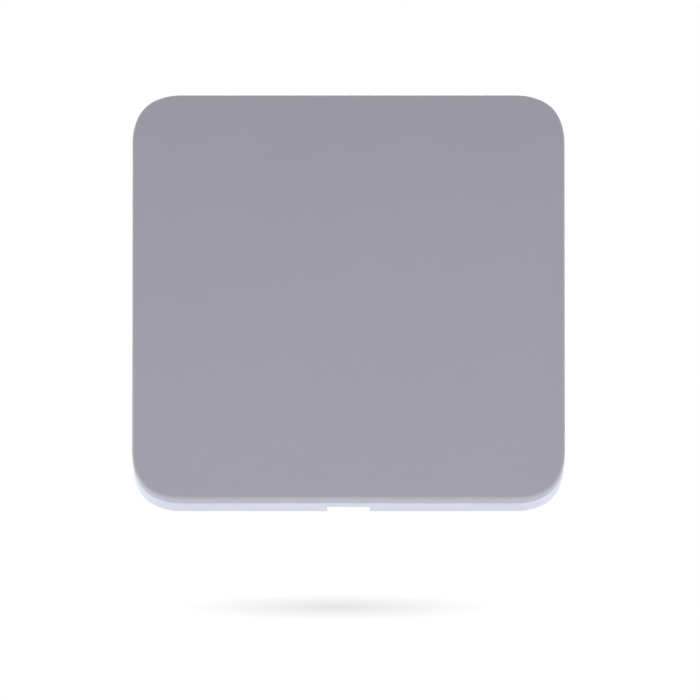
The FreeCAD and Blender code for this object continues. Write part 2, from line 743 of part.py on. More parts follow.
def saddle(side):
    """Block on the deck, grown out of the rim, that holds one pin of the press plate."""
    z = PLATE_HINGE[1]
    heights = (z - SADDLE_HALF_HEIGHT, RIM_INNER_TOP + RIM_WALL / 2)
    levels = (SHOULDER_LEVEL, PLATE_INNER_LEVEL + SADDLE_HEADROOM)
    return box(mirrored_pair(saddle_range(), side), levels, heights)


def saddle_bore(side):
    """Round bore of a saddle, open to the front so that the pin snaps in."""
    mouth = 2 * PLATE_PIN_RADIUS * SNAP_MOUTH_SHARE
    radius = PLATE_PIN_RADIUS + PIN_RUNNING_CLEARANCE
    reach = -(PLATE_HINGE_DEPTH - SADDLE_HEADROOM)
    return snap_bearing(PLATE_HINGE, radius, mouth, reach, mirrored_pair(saddle_range(), side))


def swing_ear_range():
    inner = ARM_OFFSET + ARM_WIDTH / 2 + EAR_SIDE_CLEARANCE
    return inner, inner + SWING_EAR_WIDTH


def swing_ear(side):
    """Ear under the top wall that hooks over one pin of the wall plate."""
    y, z = SWING_HINGE
    heights = (z - SWING_EAR_FALL, z + SWING_HINGE_DROP + HOUSING_WALL / 2)
    return box(mirrored_pair(swing_ear_range(), side), (DECK_LEVEL, y + SWING_EAR_REAR), heights)


def swing_bore(side):
    """Round bore of an ear, open to the wall so that the housing can be hooked on."""
    mouth = 2 * SWING_PIN_RADIUS * SNAP_MOUTH_SHARE
    radius = SWING_PIN_RADIUS + PIN_RUNNING_CLEARANCE
    return snap_bearing(SWING_HINGE, radius, mouth, SWING_EAR_REAR, mirrored_pair(swing_ear_range(), side))


def wall_plate_ranges():
    """X range and Z range of the wall plate."""
    half_x = FACE_WIDTH / 2 - WALL_PLATE_INSET
    low = -FACE_HEIGHT / 2 + WALL_PLATE_INSET
    return (-half_x, half_x), (low, SWING_HINGE[1] - SWING_ROOM)


def wall_plate():
    """Plate on the wall with its edge rib, ribs, screw slots, hinge arms, post and tongue slot."""
    x_range, z_range = wall_plate_ranges()
    inset = WALL_PLATE_INSET
    rib_front = WALL_PLATE_FRONT - WALL_PLATE_RIB_HEIGHT
    plate = Part.Face(rounded_wire(x_range, z_range, inset, 0)).extrude(Vector(0, WALL_PLATE_FRONT, 0))
    wall = WALL_PLATE_RIB_WIDTH
    inner_x = (x_range[0] + wall, x_range[1] - wall)
    inner_z = (z_range[0] + wall, z_range[1] - wall)
    edge_rib = Part.Face(rounded_wire(x_range, z_range, inset, WALL_PLATE_FRONT))
    edge_rib = edge_rib.cut(Part.Face(rounded_wire(inner_x, inner_z, inset + wall, WALL_PLATE_FRONT)))
    edge_rib = edge_rib.extrude(Vector(0, rib_front - WALL_PLATE_FRONT, 0))
    added = [edge_rib] + wall_plate_ribs(inner_x, inner_z)
    cutters = [tongue_slot(z_range[0])]
    for side in (-1, 1):
        x = side * WALL_SCREW_SPACING / 2
        pad_radius = WALL_SCREW_SLOT_LENGTH / 2 + WALL_SCREW_PAD_WALL
        pad_front = WALL_PLATE_FRONT - WALL_SCREW_PAD_HEIGHT
        added.append(disc(pad_radius, x, 0, WALL_PLATE_FRONT, pad_front))
        cutters.append(disc(pad_radius, x, 0, pad_front, rib_front))
        cutters.append(screw_slot(x))
        added.append(hinge_arm(side))
    pocket_radius = CELL_RADIUS + HOLDER_CLEARANCE + HOLDER_WALL + BATTERY_POCKET_CLEARANCE
    pocket_floor = WALL_PLATE_FRONT + BATTERY_POCKET_DEPTH
    cutters.append(disc(pocket_radius, CELL_X, CELL_Z, pocket_floor, rib_front))
    tamper_front = tamper_tip_level() + TAMPER_POST_CLEARANCE
    added.append(disc(TAMPER_POST_RADIUS, TAMPER_X, TAMPER_Z, WALL_PLATE_FRONT, tamper_front))
    return plate.fuse(added).cut(cutters).removeSplitter()


def wall_plate_ribs(x_range, z_range):
    """Upright and level ribs that cross the wall plate inside its edge rib."""
    levels = (WALL_PLATE_FRONT, WALL_PLATE_FRONT - WALL_PLATE_RIB_HEIGHT)
    width = WALL_PLATE_RIB_WIDTH
    arm_root = SWING_HINGE[1] - ARM_ROOT_DROP
    uprights = (-WALL_SCREW_SPACING / 2, UPRIGHT_RIB_X, WALL_SCREW_SPACING / 2)
    ribs = [box(around(x, width), levels, z_range) for x in uprights]
    level_heights = (z_range[0] + TONGUE_LENGTH, LEVEL_RIB_Z, arm_root)
    ribs += [box(x_range, levels, around(z, width)) for z in level_heights]
    return ribs


def screw_slot(x):
    """Level slot for one wall screw."""
    half = WALL_SCREW_SLOT_WIDTH / 2
    run = WALL_SCREW_SLOT_LENGTH / 2 - half
    levels = (WALL_PLATE_FRONT - WALL_SCREW_PAD_HEIGHT, 0)
    ends = [disc(half, x + side * run, 0, *levels) for side in (-1, 1)]
    return box((x - run, x + run), levels, (-half, half)).fuse(ends)


def hinge_arm(side):
    """Arm from the wall plate's top to the hinge axis, with the pin on its outer side."""
    y, z = SWING_HINGE
    root_z = z - ARM_ROOT_DROP
    run = Vector(0, WALL_PLATE_FRONT - y, root_z - z).normalize()
    offset_y, offset_z = -run.z * SWING_PIN_RADIUS, run.y * SWING_PIN_RADIUS
    points = [
        (y + offset_y, z + offset_z),
        (WALL_PLATE_FRONT, root_z + ARM_ROOT_RISE),
        (WALL_PLATE_FRONT, root_z - ARM_ROOT_FALL),
        (y - offset_y, z - offset_z),
    ]
    span = around(ARM_OFFSET, ARM_WIDTH)
    web = side_profile(points, mirrored_pair(span, side))
    pin_end = swing_ear_range()[1] + PIN_OVERHANG
    return web.fuse(pin(SWING_PIN_RADIUS, SWING_HINGE, mirrored_pair((span[0], pin_end), side)))


def tongue_slot(bottom):
    """Slot in the wall plate's lower edge that the latch tongue bends in."""
    levels = (0, WALL_PLATE_FRONT - WALL_PLATE_RIB_HEIGHT)
    return box(around(0, TONGUE_WIDTH + 2 * TONGUE_SLIT), levels, (bottom, bottom + TONGUE_LENGTH))


def latch_tongue():
    """Strip hanging from the wall plate, with a leg and a nose that catches the housing's ledge."""
    floor = -FACE_HEIGHT / 2 + HOUSING_INNER_INSET
    root = wall_plate_ranges()[1][0] + TONGUE_LENGTH
    leg_low = floor + LEDGE_HEIGHT + TONGUE_LEDGE_CLEARANCE
    leg_high = leg_low + TONGUE_LEG
    catch = ledge_levels()[1] - TONGUE_CATCH_CLEARANCE
    tip = catch - TONGUE_NOSE_DEPTH
    nose_low = floor + TONGUE_NOSE_CLEARANCE
    points = [
        (0, root),
        (0, leg_low),
        (catch, leg_low),
        (catch, nose_low),
        (catch - TONGUE_NOSE_DEPTH / 2, nose_low),
        (tip, leg_low),
        (tip, leg_high),
        (WALL_PLATE_FRONT, leg_high),
        (WALL_PLATE_FRONT, root),
    ]
    return side_profile(points, around(0, TONGUE_WIDTH))


def circuit_board():
    """Board with rounded corners, two screw holes and the press switch's lead holes."""
    board = box(around(0, BOARD_WIDTH), (BOARD_FRONT, BOARD_REAR), (BOARD_BOTTOM, BOARD_TOP))
    corners = [edge for edge in board.Edges if edge.BoundBox.YLength > BOARD_THICKNESS / 2]
    board = board.makeFillet(BOARD_CORNER, corners)
    hole_radius = SCREW_RADIUS + SCREW_HOLE_CLEARANCE
    cutters = [disc(hole_radius, x, z, BOARD_FRONT, BOARD_REAR) for x, z in SCREW_PLACES]
    cutters += [lead.common(board) for lead in press_switch_terminals()]
    return board.cut(cutters)


def board_screws():
    """Two cheese-head screws with a cross recess."""
    return [board_screw(x, z) for x, z in SCREW_PLACES]


def board_screw(x, z):
    point = BOARD_REAR - SCREW_LENGTH
    head_top = BOARD_REAR + SCREW_HEAD_HEIGHT
    profile = [
        (0, point),
        (SCREW_RADIUS, point),
        (SCREW_RADIUS, BOARD_REAR),
        (SCREW_HEAD_RADIUS, BOARD_REAR),
        (SCREW_HEAD_RADIUS, head_top),
        (0, head_top),
    ]
    levels = (head_top - RECESS_DEPTH, head_top)
    long_side, short_side = 2 * RECESS_REACH, RECESS_WIDTH
    cross = [
        box(around(x, long_side), levels, around(z, short_side)),
        box(around(x, short_side), levels, around(z, long_side)),
    ]
    return turned(profile, x, z).cut(cross)


def press_switch_body():
    """Moulded base of the press switch with its round well."""
    side = around(0, SWITCH_SIDE)
    top = BOARD_FRONT - SWITCH_BASE_HEIGHT
    body = box(side, (BOARD_FRONT, top), side)
    return body.cut(disc(SWITCH_CAVITY_RADIUS, 0, 0, BOARD_FRONT - SWITCH_FLOOR, top))


def press_switch_cover():
    """Sheet cover with the plunger's hole and two flaps down the base's sides."""
    half = SWITCH_SIDE / 2
    bottom = BOARD_FRONT - SWITCH_BASE_HEIGHT
    top = bottom - SWITCH_COVER_THICKNESS
    sheet = box((-half, half), (bottom, top), (-half, half))
    sheet = sheet.cut(disc(SWITCH_STEM_RADIUS + STEM_CLEARANCE, 0, 0, bottom, top))
    flaps = []
    for side in (-1, 1):
        heights = mirrored_pair((half, half + SWITCH_COVER_THICKNESS), side)
        flaps.append(box(around(0, SWITCH_FLAP_WIDTH), (bottom + SWITCH_FLAP_DEPTH, top), heights))
    return sheet.fuse(flaps).removeSplitter()


def press_switch_terminals():
    """Four leads down the base's sides and through the board."""
    half = SWITCH_SIDE / 2
    levels = (BOARD_FRONT - LEAD_RISE, BOARD_REAR + LEAD_TAIL)
    leads = []
    for side in (-1, 1):
        span = mirrored_pair((half, half + LEAD_THICKNESS), side)
        for z in (-LEAD_SPACING / 2, LEAD_SPACING / 2):
            leads.append(box(span, levels, around(z, LEAD_WIDTH)))
    return leads


def press_switch_dome():
    """Thin domed disc that clicks when the plunger pushes its crown down."""
    floor = BOARD_FRONT - SWITCH_FLOOR
    outer = crown(DOME_RADIUS, DOME_HEIGHT, 0, 0, floor - DOME_HEIGHT, -1)
    inner = crown(DOME_RADIUS - DOME_WALL, DOME_HEIGHT - DOME_WALL, 0, 0, floor - DOME_HEIGHT + DOME_WALL, -1)
    keep = disc(DOME_RADIUS, 0, 0, floor, floor - DOME_HEIGHT)
    return outer.common(keep).cut(inner)


def press_switch_plunger():
    """Plunger with its flange under the cover and its nub on the dome."""
    cover_under = BOARD_FRONT - SWITCH_BASE_HEIGHT
    flange_top = cover_under + STEM_CLEARANCE
    flange_bottom = flange_top + SWITCH_FLANGE_HEIGHT
    tip = BOARD_FRONT - SWITCH_TIP_HEIGHT
    nub_end = BOARD_FRONT - SWITCH_FLOOR - DOME_HEIGHT - STEM_CLEARANCE
    profile = [
        (0, tip),
        (SWITCH_STEM_RADIUS, tip),
        (SWITCH_STEM_RADIUS, flange_top),
        (SWITCH_FLANGE_RADIUS, flange_top),
        (SWITCH_FLANGE_RADIUS, flange_bottom),
        (NUB_RADIUS, flange_bottom),
        (NUB_RADIUS, nub_end),
        (0, nub_end),
    ]
    return turned(profile, 0, 0)


def tamper_top_level():
    """Rear side of the tamper switch's cover."""
    return BOARD_REAR + TAMPER_BASE_HEIGHT + TAMPER_COVER_THICKNESS


def tamper_tip_level():
    """Where the tamper plunger's tip stands while the wall plate holds it in."""
    return tamper_top_level() + TAMPER_PRESSED_HEIGHT


def tamper_switch_body():
    """Moulded base of the tamper switch with its round well."""
    top = BOARD_REAR + TAMPER_BASE_HEIGHT
    body = box(around(TAMPER_X, TAMPER_SIDE), (BOARD_REAR, top), around(TAMPER_Z, TAMPER_SIDE))
    return body.cut(disc(TAMPER_CAVITY_RADIUS, TAMPER_X, TAMPER_Z, BOARD_REAR + TAMPER_FLOOR, top))


def tamper_switch_cover():
    """Sheet cover with the tamper plunger's hole."""
    bottom = BOARD_REAR + TAMPER_BASE_HEIGHT
    top = tamper_top_level()
    sheet = box(around(TAMPER_X, TAMPER_SIDE), (bottom, top), around(TAMPER_Z, TAMPER_SIDE))
    return sheet.cut(disc(TAMPER_STEM_RADIUS + STEM_CLEARANCE, TAMPER_X, TAMPER_Z, bottom, top))


def tamper_switch_plunger():
    """Plunger held in by the wall plate's post, with room to come out by its travel."""
    cover_under = BOARD_REAR + TAMPER_BASE_HEIGHT
    flange_top = cover_under - TAMPER_TRAVEL - STEM_CLEARANCE
    flange_bottom = flange_top - TAMPER_FLANGE_HEIGHT
    tip = tamper_tip_level()
    profile = [
        (0, flange_bottom),
        (TAMPER_FLANGE_RADIUS, flange_bottom),
        (TAMPER_FLANGE_RADIUS, flange_top),
        (TAMPER_STEM_RADIUS, flange_top),
        (TAMPER_STEM_RADIUS, tip),
        (0, tip),
    ]
    return turned(profile, TAMPER_X, TAMPER_Z)


def cell_front_level():
    return BOARD_REAR + CELL_STANDOFF


def coin_cell():
    """Coin cell: flat can with a smaller stepped cap towards the board."""
    front = cell_front_level()
    rear = front + CELL_HEIGHT
    step = front + CELL_CAP_HEIGHT
    profile = [
        (0, front),
        (CELL_CAP_RADIUS, front),
        (CELL_CAP_RADIUS, step),
        (CELL_RADIUS, step),
        (CELL_RADIUS, rear),
        (0, rear),
    ]
    return turned(profile, CELL_X, CELL_Z)


def battery_holder():
    """Round cradle, open at one side for the cell to slide out, with two lips over the cell."""
    inner = CELL_RADIUS + HOLDER_CLEARANCE
    outer = inner + HOLDER_WALL
    lip_bottom = cell_front_level() + CELL_HEIGHT + POST_CLEARANCE
    lip_top = lip_bottom + HOLDER_LIP_THICKNESS
    top = BOARD_REAR + HOLDER_HEIGHT
    ring = disc(outer, CELL_X, CELL_Z, BOARD_REAR, top)
    tabs = disc(outer, CELL_X, CELL_Z, BOARD_REAR, lip_top)
    tab_heights = around(CELL_Z, 2 * outer)
    tabs = tabs.common(box(around(CELL_X, HOLDER_LIP_WIDTH), (BOARD_REAR, lip_top), tab_heights))
    well = disc(inner, CELL_X, CELL_Z, BOARD_REAR, lip_bottom)
    contact_heights = around(CELL_Z, CONTACT_WIDTH + 2 * HOLDER_CLEARANCE)
    mouths = [
        box((CELL_X, CELL_X + outer), (BOARD_REAR, lip_top), around(CELL_Z, HOLDER_MOUTH)),
        box((CELL_X - inner - HOLDER_WALL / 2, CELL_X), (BOARD_REAR, top), contact_heights),
        box((CELL_X - outer, CELL_X), (BOARD_REAR, BOARD_REAR + HOLDER_WALL / 2), contact_heights),
        disc(inner - HOLDER_LIP, CELL_X, CELL_Z, lip_bottom, lip_top),
    ]
    return ring.fuse(tabs).cut([well] + mouths).removeSplitter()


def battery_contact_positive():
    """Sheet strip: a foot on the board and a leg that bears on the cell's rim."""
    rim_x = CELL_X - CELL_RADIUS
    heights = around(CELL_Z, CONTACT_WIDTH)
    leg_x = (rim_x - 2 * CONTACT_THICKNESS, rim_x - CONTACT_THICKNESS)
    leg_top = BOARD_REAR + CONTACT_LEG
    foot = box((rim_x - CONTACT_FOOT, leg_x[1]), (BOARD_REAR, BOARD_REAR + CONTACT_THICKNESS), heights)
    leg = box(leg_x, (BOARD_REAR, leg_top), heights)
    bulge_heights = around(CELL_Z, CONTACT_WIDTH - 2 * CONTACT_BULGE)
    bulge_levels = (leg_top - 2 * CONTACT_BULGE, leg_top - CONTACT_BULGE)
    bulge = box((leg_x[1], rim_x - CONTACT_TOUCH), bulge_levels, bulge_heights)
    return foot.fuse([leg, bulge]).removeSplitter()


def battery_contact_negative():
    """Sheet strip on the board with a raised middle under the cell's cap."""
    raised = cell_front_level() - CONTACT_THICKNESS
    half = CONTACT_FOOT + CONTACT_RAMP + CONTACT_WIDTH / 2
    foot_end = half - CONTACT_FOOT
    ramp_end = foot_end - CONTACT_RAMP
    upper = [(-half, BOARD_REAR), (-foot_end, BOARD_REAR), (-ramp_end, raised)]
    upper += [(-x, y) for x, y in reversed(upper)]
    lower = [(x, y + CONTACT_THICKNESS) for x, y in reversed(upper)]
    corners = [Vector(CELL_X + x, y, CELL_Z - CONTACT_WIDTH / 2) for x, y in upper + lower]
    face = Part.Face(Part.makePolygon(corners + corners[:1]))
    return face.extrude(Vector(0, 0, CONTACT_WIDTH))


def rear_block(x, z, width, height, thickness, seat=BOARD_REAR):
    """Block that stands on the board's rear side, or on another seat."""
    return box(around(x, width), (seat, seat + thickness), around(z, height))


def radio_seat():
    return BOARD_REAR + RADIO_BOARD_THICKNESS


def radio_module_board():
    return rear_block(RADIO_X, RADIO_Z, RADIO_WIDTH, RADIO_HEIGHT, RADIO_BOARD_THICKNESS)


def radio_shield_can():
    """Sheet can over the radio, open towards its board."""
    width = RADIO_WIDTH - 2 * SHIELD_MARGIN
    height = RADIO_HEIGHT - 2 * SHIELD_MARGIN
    seat = radio_seat()
    can = rear_block(RADIO_X, RADIO_Z, width, height, SHIELD_HEIGHT, seat)
    broken = [edge for edge in can.Edges if edge.BoundBox.YMax > seat + SHIELD_HEIGHT / 2]
    can = can.makeChamfer(SHIELD_EDGE_BREAK, broken)
    inner_width = width - 2 * SHIELD_WALL
    inner_height = height - 2 * SHIELD_WALL
    return can.cut(rear_block(RADIO_X, RADIO_Z, inner_width, inner_height, SHIELD_HEIGHT - SHIELD_WALL, seat))


def radio_chip():
    x = RADIO_X - RADIO_CHIP_SIDE / 2
    return rear_block(x, RADIO_Z, RADIO_CHIP_SIDE, RADIO_CHIP_SIDE, RADIO_CHIP_HEIGHT, radio_seat())


def radio_crystal():
    x = RADIO_X + RADIO_CRYSTAL_WIDTH
    return rear_block(
        x, RADIO_Z, RADIO_CRYSTAL_WIDTH, RADIO_CRYSTAL_HEIGHT, RADIO_CRYSTAL_THICKNESS, radio_seat()
    )


def helical_antenna():
    """Wound wire whose two ends go straight down to the board."""
    axis_level = BOARD_REAR + ANTENNA_LIFT + ANTENNA_WIRE / 2 + ANTENNA_RADIUS

    def place(across, up, along):
        return Vector(ANTENNA_START_X + along, axis_level + up, ANTENNA_Z + across)

    edges, points, headings = coil_edges(ANTENNA_RADIUS, ANTENNA_PITCH, ANTENNA_TURNS, place)
    coil_self_gap("antenna", ANTENNA_RADIUS, ANTENNA_PITCH, ANTENNA_WIRE, ANTENNA_TURNS)
    run = axis_level - BOARD_REAR
    foot = points[0] - headings[0] * (run / headings[0].y)
    end_foot = points[-1] + headings[-1] * (run / -headings[-1].y)
    path = [Part.LineSegment(foot, points[0]).toShape()] + edges
    path.append(Part.LineSegment(points[-1], end_foot).toShape())
    tube = wire_tube(path, foot, headings[0], ANTENNA_WIRE)
    height = 2 * (ANTENNA_RADIUS + ANTENNA_WIRE)
    below = rear_block(ANTENNA_START_X, ANTENNA_Z, BOARD_WIDTH, height, -ANTENNA_WIRE)
    return tube.cut(below)


def microcontroller():
    return rear_block(CHIP_X, CHIP_Z, CHIP_SIDE, CHIP_SIDE, CHIP_HEIGHT)


def clock_crystal():
    z = CHIP_Z - CHIP_SIDE / 2 - CRYSTAL_DEPTH
    return rear_block(CHIP_X, z, CRYSTAL_WIDTH, CRYSTAL_DEPTH, CRYSTAL_HEIGHT)


def power_inductor():
    """Square coil body with cut corners."""
    block = rear_block(COIL_X, POWER_ROW_Z, COIL_SIDE, COIL_SIDE, COIL_HEIGHT)
    corners = [edge for edge in block.Edges if edge.BoundBox.YLength > COIL_HEIGHT / 2]
    return block.makeChamfer(COIL_EDGE, corners)


def storage_capacitor():
    """Moulded block capacitor with drawn-in top."""
    block = rear_block(STORAGE_X, POWER_ROW_Z, STORAGE_WIDTH, STORAGE_DEPTH, STORAGE_HEIGHT)
    top_edges = [edge for edge in block.Edges if edge.BoundBox.YMin > BOARD_REAR + STORAGE_HEIGHT / 2]
    return block.makeChamfer(STORAGE_EDGE, top_edges)


def capacitors():
    """Row of small capacitors above the microcontroller."""
    width, depth, height = CAPACITOR_SIZE
    z = CHIP_Z + CHIP_SIDE / 2 + PART_PITCH
    places = [CHIP_X - CHIP_SIDE + index * PART_PITCH for index in range(CAPACITOR_COUNT)]
    return [rear_block(x, z, width, depth, height) for x in places]


def resistors():
    """Two columns of small resistors between the microcontroller and the cell."""
    width, depth, height = RESISTOR_SIZE
    blocks = []
    for column in (0, 1):
        x = CHIP_X - CHIP_SIDE - column * PART_PITCH
        for index in range(RESISTOR_ROWS):
            z = CHIP_Z - CHIP_SIDE / 2 + index * RESISTOR_ROW_PITCH
            blocks.append(rear_block(x, z, width, depth, height))
    return blocks


def status_led():
    """Lamp on the board's front side, low in the middle."""
    width, depth, height = LED_SIZE
    low = BOARD_BOTTOM + LED_EDGE
    return box(around(0, width), (BOARD_FRONT, BOARD_FRONT - height), (low, low + depth))


def programming_header():
    """Two rows of pins in a low base."""
    width = HEADER_COLUMNS * HEADER_PITCH
    base = rear_block(HEADER_X, HEADER_Z, width, 2 * HEADER_PITCH, HEADER_BASE_HEIGHT)
    pins = []
    for x in row(HEADER_COLUMNS, HEADER_PITCH):
        for z in row(2, HEADER_PITCH):
            pins.append(rear_block(HEADER_X + x, HEADER_Z + z, HEADER_PIN, HEADER_PIN, HEADER_PIN_HEIGHT))
    return base.fuse(pins).removeSplitter()


def all_pieces():
    """Every piece by its name. A list stands for alike pieces that share one name."""
    return {
        "press_plate": press_plate(),
        "housing": housing(),
        "wall_plate": wall_plate(),
        "latch_tongue": latch_tongue(),
        "return_spring_left": return_spring(-1),
        "return_spring_right": return_spring(1),
        "stop_pads": stop_pads(),
        "circuit_board": circuit_board(),
        "board_screws": board_screws(),
        "press_switch_body": press_switch_body(),
        "press_switch_cover": press_switch_cover(),
        "press_switch_terminals": press_switch_terminals(),
        "press_switch_dome": press_switch_dome(),
        "press_switch_plunger": press_switch_plunger(),
        "tamper_switch_body": tamper_switch_body(),
        "tamper_switch_cover": tamper_switch_cover(),
        "tamper_switch_plunger": tamper_switch_plunger(),
        "coin_cell": coin_cell(),
        "battery_holder": battery_holder(),
        "battery_contact_positive": battery_contact_positive(),
        "battery_contact_negative": battery_contact_negative(),
        "radio_module_board": radio_module_board(),
        "radio_shield_can": radio_shield_can(),
        "radio_chip": radio_chip(),
        "radio_crystal": radio_crystal(),
        "helical_antenna": helical_antenna(),
        "microcontroller": microcontroller(),
        "clock_crystal": clock_crystal(),
        "power_inductor": power_inductor(),
        "storage_capacitor": storage_capacitor(),
        "status_led": status_led(),
        "programming_header": programming_header(),
        "capacitors": capacitors(),
        "resistors": resistors(),
    }


def export(name, piece):
    """Writes one piece, or a group of alike pieces, under its name."""
    shape = Part.Compound(piece) if isinstance(piece, list) else piece
    assert shape.isValid(), name
    shape.exportStep(f"parts/{name}.step")


os.makedirs("parts", exist_ok=True)
for piece_name, piece_shape in all_pieces().items():
    export(piece_name, piece_shape)
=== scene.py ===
import math

import bmesh
import bpy
import numpy as np
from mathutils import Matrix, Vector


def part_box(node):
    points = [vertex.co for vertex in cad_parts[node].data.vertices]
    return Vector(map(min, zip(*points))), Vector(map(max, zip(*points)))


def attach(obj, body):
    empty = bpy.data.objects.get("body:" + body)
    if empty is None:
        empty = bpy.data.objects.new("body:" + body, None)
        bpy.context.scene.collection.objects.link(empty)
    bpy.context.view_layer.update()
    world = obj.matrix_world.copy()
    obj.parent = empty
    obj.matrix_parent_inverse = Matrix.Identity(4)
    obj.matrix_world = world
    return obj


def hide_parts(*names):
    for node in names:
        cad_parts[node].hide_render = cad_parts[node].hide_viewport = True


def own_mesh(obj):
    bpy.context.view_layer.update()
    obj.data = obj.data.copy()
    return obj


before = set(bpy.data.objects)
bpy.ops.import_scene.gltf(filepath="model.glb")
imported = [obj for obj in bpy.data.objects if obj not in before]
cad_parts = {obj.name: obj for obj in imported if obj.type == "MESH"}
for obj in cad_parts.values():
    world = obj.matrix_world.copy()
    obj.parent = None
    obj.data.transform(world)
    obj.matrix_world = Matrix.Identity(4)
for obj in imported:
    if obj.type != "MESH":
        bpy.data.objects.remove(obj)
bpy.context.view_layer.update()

# Wireless panic button on a wall plate, in metres: +Z up, +Y into the wall, the face towards -Y.
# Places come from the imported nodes, and the sizes below are those of the wound, turned and cut pieces.
MM = 0.001

# Camera: it looks up at the face from a little below, from far away through a long lens
VIEW_RISE = math.radians(10.28)
CAMERA_DISTANCE = 6.0
CLIP_RANGE = (0.1, 20)
FIELD_WIDTH = 137.543 * MM   # at the press plate's face
SENSOR_WIDTH = 36.0
AIM = (0.28 * MM, 1.37 * MM, -7.626 * MM)

# Sheet and sky: white paper under the floating object, which fades into an even white sky
SHEET_LEVEL = -60.4 * MM
SHEET_SIDE = 3.0
PAPER_GREYS = (0.79, 0.81)
PAPER_FIBRE = 4 * MM
SHEET_GLOW = 0.56
SHEET_FADE = (0.09, 0.24)
SKY_LEVEL = 0.375

# Faint painted oval shadow, a darker tint on the sheet's clear underside that is seen from below: middle,
# half axes and how much light it takes
OVAL_MIDDLE = (-2.4 * MM, -6.4 * MM, SHEET_LEVEL)
OVAL_REACH = (30.7 * MM, 15.4 * MM)
PAINTED_SHADOW_DEPTH = 0.217
OVAL_FALL = 1.1

# Noise values between which a finish changes
NOISE_RANGE = (0.3, 0.7)

# Mouldings: clouds in the colour, specks as fine as the grain and an uneven gloss
CLOUD_SIZE = 25 * MM
SPECK_RANGE = (0.35, 0.65)
SPECK_TO_CLOUD = 1.5
GLOSS_SPREAD = 0.05

# Metals: drawn or rolled marks with their gloss, and a stain that makes the colour darker and lighter
MARK_SIZE = 0.15 * MM
MARK_DEPTH = 0.002 * MM
MARK_GLOSS = (-0.07, 0.1)
STAIN_SIZE = 3 * MM
STAIN_SHARES = (-0.08, 0.05)

# Black resins and ceramic: grain and relief, how uneven the colour is, and the gloss
RESIN_GRAIN = 0.08 * MM
RESIN_RELIEF = 0.006 * MM
RESIN_CLOUD = 0.1
CHIP_GLOSS = (0.4, 0.5)
STRIP_GRAIN = 0.1 * MM
STRIP_GLOSS = (0.32, 0.46)
CERAMIC_GRAIN = 0.2 * MM
CERAMIC_RELIEF = 0.01 * MM
CERAMIC_GLOSS = (0.35, 0.5)

# Press plate: its rounded front edge, and how the painted highlight on it, a lighter line of colour, grows
# and ends, as shares of its depth
EDGE_RADIUS = 0.4 * MM
PAINTED_HIGHLIGHT_LINE = ((0.0, 0.0), (0.03, 1.0), (0.1, 1.0), (0.24, 0.0))

# Board lacquer: tracks nested in cells, tinned holes in smaller ones, and the weave under the lacquer
TRACK_CELL = 7 * MM
TRACK_PITCH = 0.07   # half the way from track to track, in cell sizes
TRACK_WIDTH = 0.015   # half a track, in cell sizes
HOLE_CELL = 4.2 * MM
HOLE_SHARE = 0.07   # radius of a hole, in cell sizes
WEAVE = 0.5 * MM
WEAVE_SHARE = 0.08
TRACK_RISE = 0.03 * MM
LACQUER_GLOSS = (0.22, 0.32)
LACQUER_COAT = 0.4

# Controller chip: lands along the foot of its sides, up to a share of its half width, and its round mark
FOOT_HEIGHT = 0.22 * MM
LAND_REACH = 0.8
CONTROLLER_PITCH = 0.65 * MM
CONTROLLER_DOT = (-13.7 * MM, -1.3 * MM)
DOT_RADIUS = 0.3 * MM
DOT_DEPTH = 0.03 * MM
DOT_LIGHTER = 3.0

# Rows of small chips: pitch, middle of one chip and half length between the tinned ends
CHIP_ROW = (2.4 * MM, -17 * MM, 0.5 * MM)

# Blocks with tinned ends: share of the half length that lies between the ends
BLOCK_BODY = 0.86
LAMP_BODY = 0.66

# Programming header: height of its moulded strip over the board, and where its pins start, as a share of it
STRIP_HEIGHT = 1.0 * MM
PIN_START = 1.02

# Return springs
SPRING_WIRE = 0.45 * MM
SPRING_TURNS = 4.5
SPRING_DEAD_TURNS = 0.75   # at each end
SPRING_CREEP = 0.18   # share of the rise that is even over all turns

# Click dome of the press switch
DOME_WALL = 0.12 * MM
DOME_ROWS = 28

# Antenna: its axis runs along X above the board's rear side
ANTENNA_TURNS = 8.5
ANTENNA_WIRE = 0.5 * MM
ANTENNA_COIL = 1.2 * MM
ANTENNA_REACH = (-3.0 * MM, 4.2 * MM)
ANTENNA_AXIS = (-4.45 * MM, 25.0 * MM)
FOOT_STEPS = 14

# Board screws: cheese head with a cross recess, whose rings are shares of its outline at their depths
SCREW_PLACES = ((-27 * MM, 26 * MM), (27 * MM, -25 * MM))
CROSS_REACH = 1.0 * MM
CROSS_HALF_WIDTH = 0.225 * MM
CROSS_STEPS = 8
TINY = 1e-9   # keeps a divisor from being 0
CROSS_RINGS = ((0.0, 0.72 * MM), (0.55, 0.7 * MM), (0.6, 0.62 * MM), (1.0, 0.0))
HEAD_RADIUS = 1.9 * MM
HEAD_FLAT = 1.2 * MM
HEAD_ROUND = 0.3 * MM
SEAT_ROUND = 0.06 * MM
SHANK_RADIUS = 1.0 * MM
THREAD_PITCH = 0.7 * MM
THREAD_DEPTH = 0.14 * MM
THREAD_RUN_IN = 0.1 * MM
THREAD_ROWS = 60
POINT_LENGTH = 0.6 * MM
POINT_RADIUS = 0.45 * MM

# Coin cell: radii of its cap, its seal and its can, and the ring pressed into its base from rim to rim
CELL_PLACE = (15 * MM, -14 * MM)
CELL_RADIUS = 10.0 * MM
CELL_STEP = 0.35 * MM   # how far the cap stands out
CAP_RADIUS = 8.58 * MM
CAP_ROUND = 0.3 * MM
CAN_LIP = ((8.93 * MM, 0.12 * MM), (9.05 * MM, 0.0))
SEAL_DROP = 0.22 * MM
SEAL_ROUNDS = (0.05 * MM, 0.05 * MM, 0.06 * MM)
CAN_ROUNDS = (0.55 * MM, 0.35 * MM)
BASE_RING = (9.1 * MM, 9.0 * MM, 8.7 * MM, 8.6 * MM)
BASE_RING_DEPTH = 0.07 * MM
BASE_RING_ROUND = 0.03 * MM

